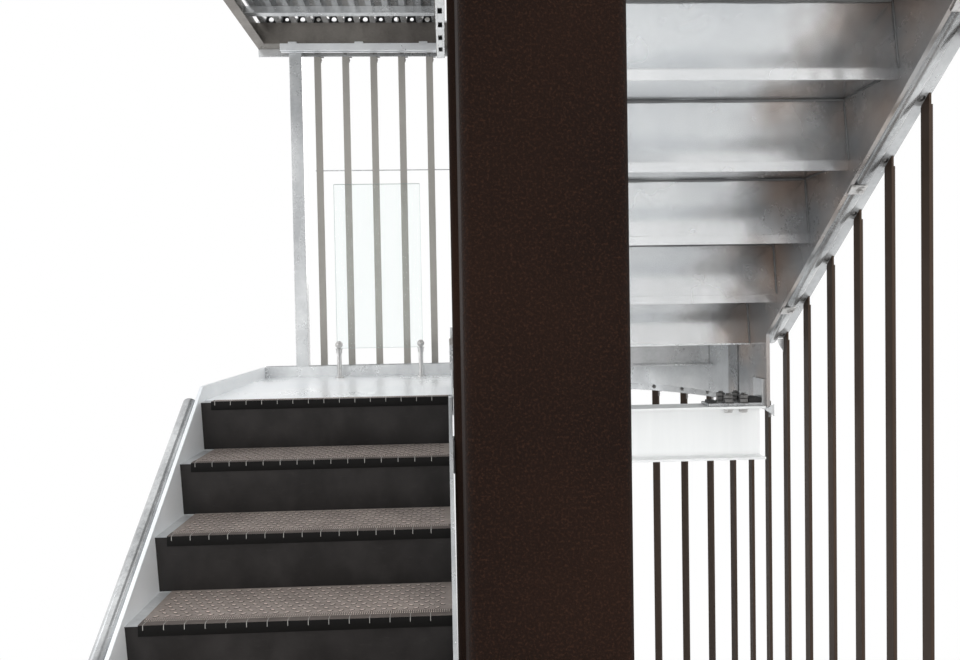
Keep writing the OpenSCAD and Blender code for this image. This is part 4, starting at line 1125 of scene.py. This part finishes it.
# Studio: each light's name, place, target, size in metres, share of its power setting, and tint
SIDE_LIGHTS = (
    ("key_light", (9.5, -4.5, 10.5), (0, 0, 4), (6, 6), 1.0, (1.0, 0.97, 0.93)),
    ("back_light", (4.0, 10.5, 8.0), (0, 0, 4.2), (7, 5), 0.75, (1.0, 0.98, 0.96)),
    ("left_light", (-9.0, -1.0, 6.5), (0, 0, 4), (6, 7), 0.5, (0.95, 0.975, 1.0)),
)
FRONT_LIGHT = ("front_light", (-0.6, -9.5, 4.6), (0, 0, 4.9), (9, 6), 1.0, (1.0, 0.99, 0.975))
LENS, SENSOR, CLIP = 29.25, 36.0, (0.02, 300.0)
EYE, YAW, PITCH, ROLL = (-0.122, -3.392, 4.9907), 0.0421, 0.0249, -0.0176
WHITE = (1, 1, 1, 1)
FLOOR_NEAR, FLOOR_FAR = 4.2, 8.4


def camera_turn(yaw, pitch, roll):
    """Camera axes as columns, from the three fitted angles: yaw about up, then pitch, then roll."""
    (cy, cp, cr), (sy, sp, sr) = np.cos([yaw, pitch, roll]), np.sin([yaw, pitch, roll])
    about_up = np.array([[cy, -sy, 0], [sy, cy, 0], [0, 0, 1]])
    about_side = np.array([[1, 0, 0], [0, cp, -sp], [0, sp, cp]])
    to_view = np.array([[1, 0, 0], [0, 0, -1], [0, 1, 0]])
    about_view = np.array([[cr, -sr, 0], [sr, cr, 0], [0, 0, 1]])
    right, down, ahead = about_view @ to_view @ about_side @ about_up
    return np.stack([right, -down, -ahead], 1)


def put(made, place, turn):
    """Stands a light or camera at a place, with the columns of turn as its axes, and adds it."""
    made.matrix_world = Matrix.Translation(place) @ Matrix(turn.tolist()).to_4x4()
    bpy.context.scene.collection.objects.link(made)


def soft_light(name, place, target, size, share, tint, power, mirrored=True):
    """A large soft light at a place, turned to its target, which bright metal mirrors or not."""
    old = bpy.data.objects.get(name)
    if old:
        bpy.data.objects.remove(old)
    data = bpy.data.lights.new(name, "AREA")
    data.shape, data.size, data.size_y = "RECTANGLE", size[0], size[1]
    data.energy, data.color = power * share, tint
    made = bpy.data.objects.new(name, data)
    made.visible_camera = False
    made.visible_glossy = mirrored
    put(made, place, facing(np.subtract(place, target, dtype=float))[0])


def seen_straight(nodes):
    """1 for rays from the camera, off bright metal and through panels, and 0 for all others."""
    ray = nodes.add("LightPath").outputs
    return nodes.capped(ray["Is Camera Ray"], ray["Is Glossy Ray"], ray["Is Transmission Ray"])


class STAIR_OT_studio(bpy.types.Operator):
    """Set the pale floor, the soft lights, the bright surround and the camera"""
    bl_idname = "stair.studio"
    bl_label = "Studio"

    def execute(self, context):
        scene = context.scene
        s = scene.stair_studio
        scene.world = bpy.data.worlds.new("studio")
        scene.world.use_nodes = True
        world = Nodes(scene.world.node_tree)
        world.tree.nodes.clear()
        pale = {"Color": (0.93, 0.965, 1.0, 1), "Strength": s.fill}
        dim = world.add("Background", pale).outputs[0]
        bright = world.add("Background", {"Color": WHITE, "Strength": 1.0}).outputs[0]
        both = world.add("MixShader", {0: seen_straight(world), 1: dim, 2: bright}).outputs[0]
        world.add("OutputWorld", {"Surface": both})

        # Floor: pale near the stair, where it holds the shadow, and white like the surround far out
        paint = Finish("pale_floor")
        paint.shade_with(Base_Color=(0.84, 0.84, 0.835, 1), Roughness=0.85)
        far = paint.add("VectorMath", {0: paint.here()}, operation="LENGTH").outputs["Value"]
        out_there = paint.spread(far, FLOOR_NEAR, FLOOR_FAR, curve="SMOOTHSTEP")
        glow = paint.add("Emission", {"Color": WHITE, "Strength": 1.0}).outputs[0]
        both = paint.add("MixShader", {0: paint.times(out_there, seen_straight(paint)),
                                       1: paint.shader.outputs[0], 2: glow}).outputs[0]
        paint.feed(paint.tree.nodes["Material Output"].inputs["Surface"], both)
        w = s.floor_size
        mesh = bpy.data.meshes.new("floor")
        mesh.from_pydata([(-w, -w, 0), (w, -w, 0), (w, w, 0), (-w, w, 0)], [], [(0, 1, 2, 3)])
        mesh.materials.append(paint.made)
        floor = bpy.data.objects.new("floor", mesh)
        scene.collection.objects.link(floor)

        for light in SIDE_LIGHTS:
            soft_light(*light, s.key)
        soft_light(*FRONT_LIGHT, s.front, mirrored=False)

        data = bpy.data.cameras.new("camera")
        data.sensor_fit, data.sensor_width, data.lens = "HORIZONTAL", SENSOR, LENS
        data.clip_start, data.clip_end = CLIP
        camera = bpy.data.objects.new("camera", data)
        put(camera, (START + EYE).tolist(), camera_turn(YAW, PITCH, ROLL))
        scene.camera = camera
        scene.view_settings.view_transform = "Standard"
        return {"FINISHED"}


OPERATORS = (STAIR_OT_finishes, STAIR_OT_tread_pattern, STAIR_OT_welds, STAIR_OT_screen_fixings,
             STAIR_OT_tube_clamps, STAIR_OT_beam_fixings, STAIR_OT_gallery_soffit, STAIR_OT_anchors,
             STAIR_OT_guard_clamps, STAIR_OT_well_strut, STAIR_OT_studio)
GROUPS = (("stair_pattern", StairPatternSizes), ("stair_fixings", StairFixingSizes),
          ("stair_colours", StairColours), ("stair_studio", StairStudio))


class STAIR_PT_panel(bpy.types.Panel):
    """Lists the stair's steps and settings in the sidebar"""
    bl_label = "Fire escape stair"
    bl_idname = "STAIR_PT_panel"
    bl_space_type = "VIEW_3D"
    bl_region_type = "UI"
    bl_category = "Stair"

    def draw(self, context):
        for operator in OPERATORS:
            self.layout.operator(operator.bl_idname)
        for key, group in GROUPS:
            box = self.layout.box()
            for setting in group.__annotations__:
                box.prop(getattr(context.scene, key), setting)


def register():
    for _, group in GROUPS:
        bpy.utils.register_class(group)
    for kind in OPERATORS + (STAIR_PT_panel,):
        bpy.utils.register_class(kind)
    for key, group in GROUPS:
        setattr(bpy.types.Scene, key, bpy.props.PointerProperty(type=group))


def unregister():
    for key, _ in GROUPS:
        delattr(bpy.types.Scene, key)
    for kind in (STAIR_PT_panel,) + OPERATORS[::-1]:
        bpy.utils.unregister_class(kind)
    for _, group in GROUPS[::-1]:
        bpy.utils.unregister_class(group)


def main():
    register()
    bpy.ops.stair.finishes()
    bpy.ops.stair.tread_pattern()
    bpy.ops.stair.welds()
    bpy.ops.stair.screen_fixings()
    bpy.ops.stair.tube_clamps()
    bpy.ops.stair.beam_fixings()
    bpy.ops.stair.gallery_soffit()
    bpy.ops.stair.anchors()
    bpy.ops.stair.guard_clamps()
    bpy.ops.stair.well_strut()
    bpy.ops.stair.studio()


if __name__ == "__main__":
    main()
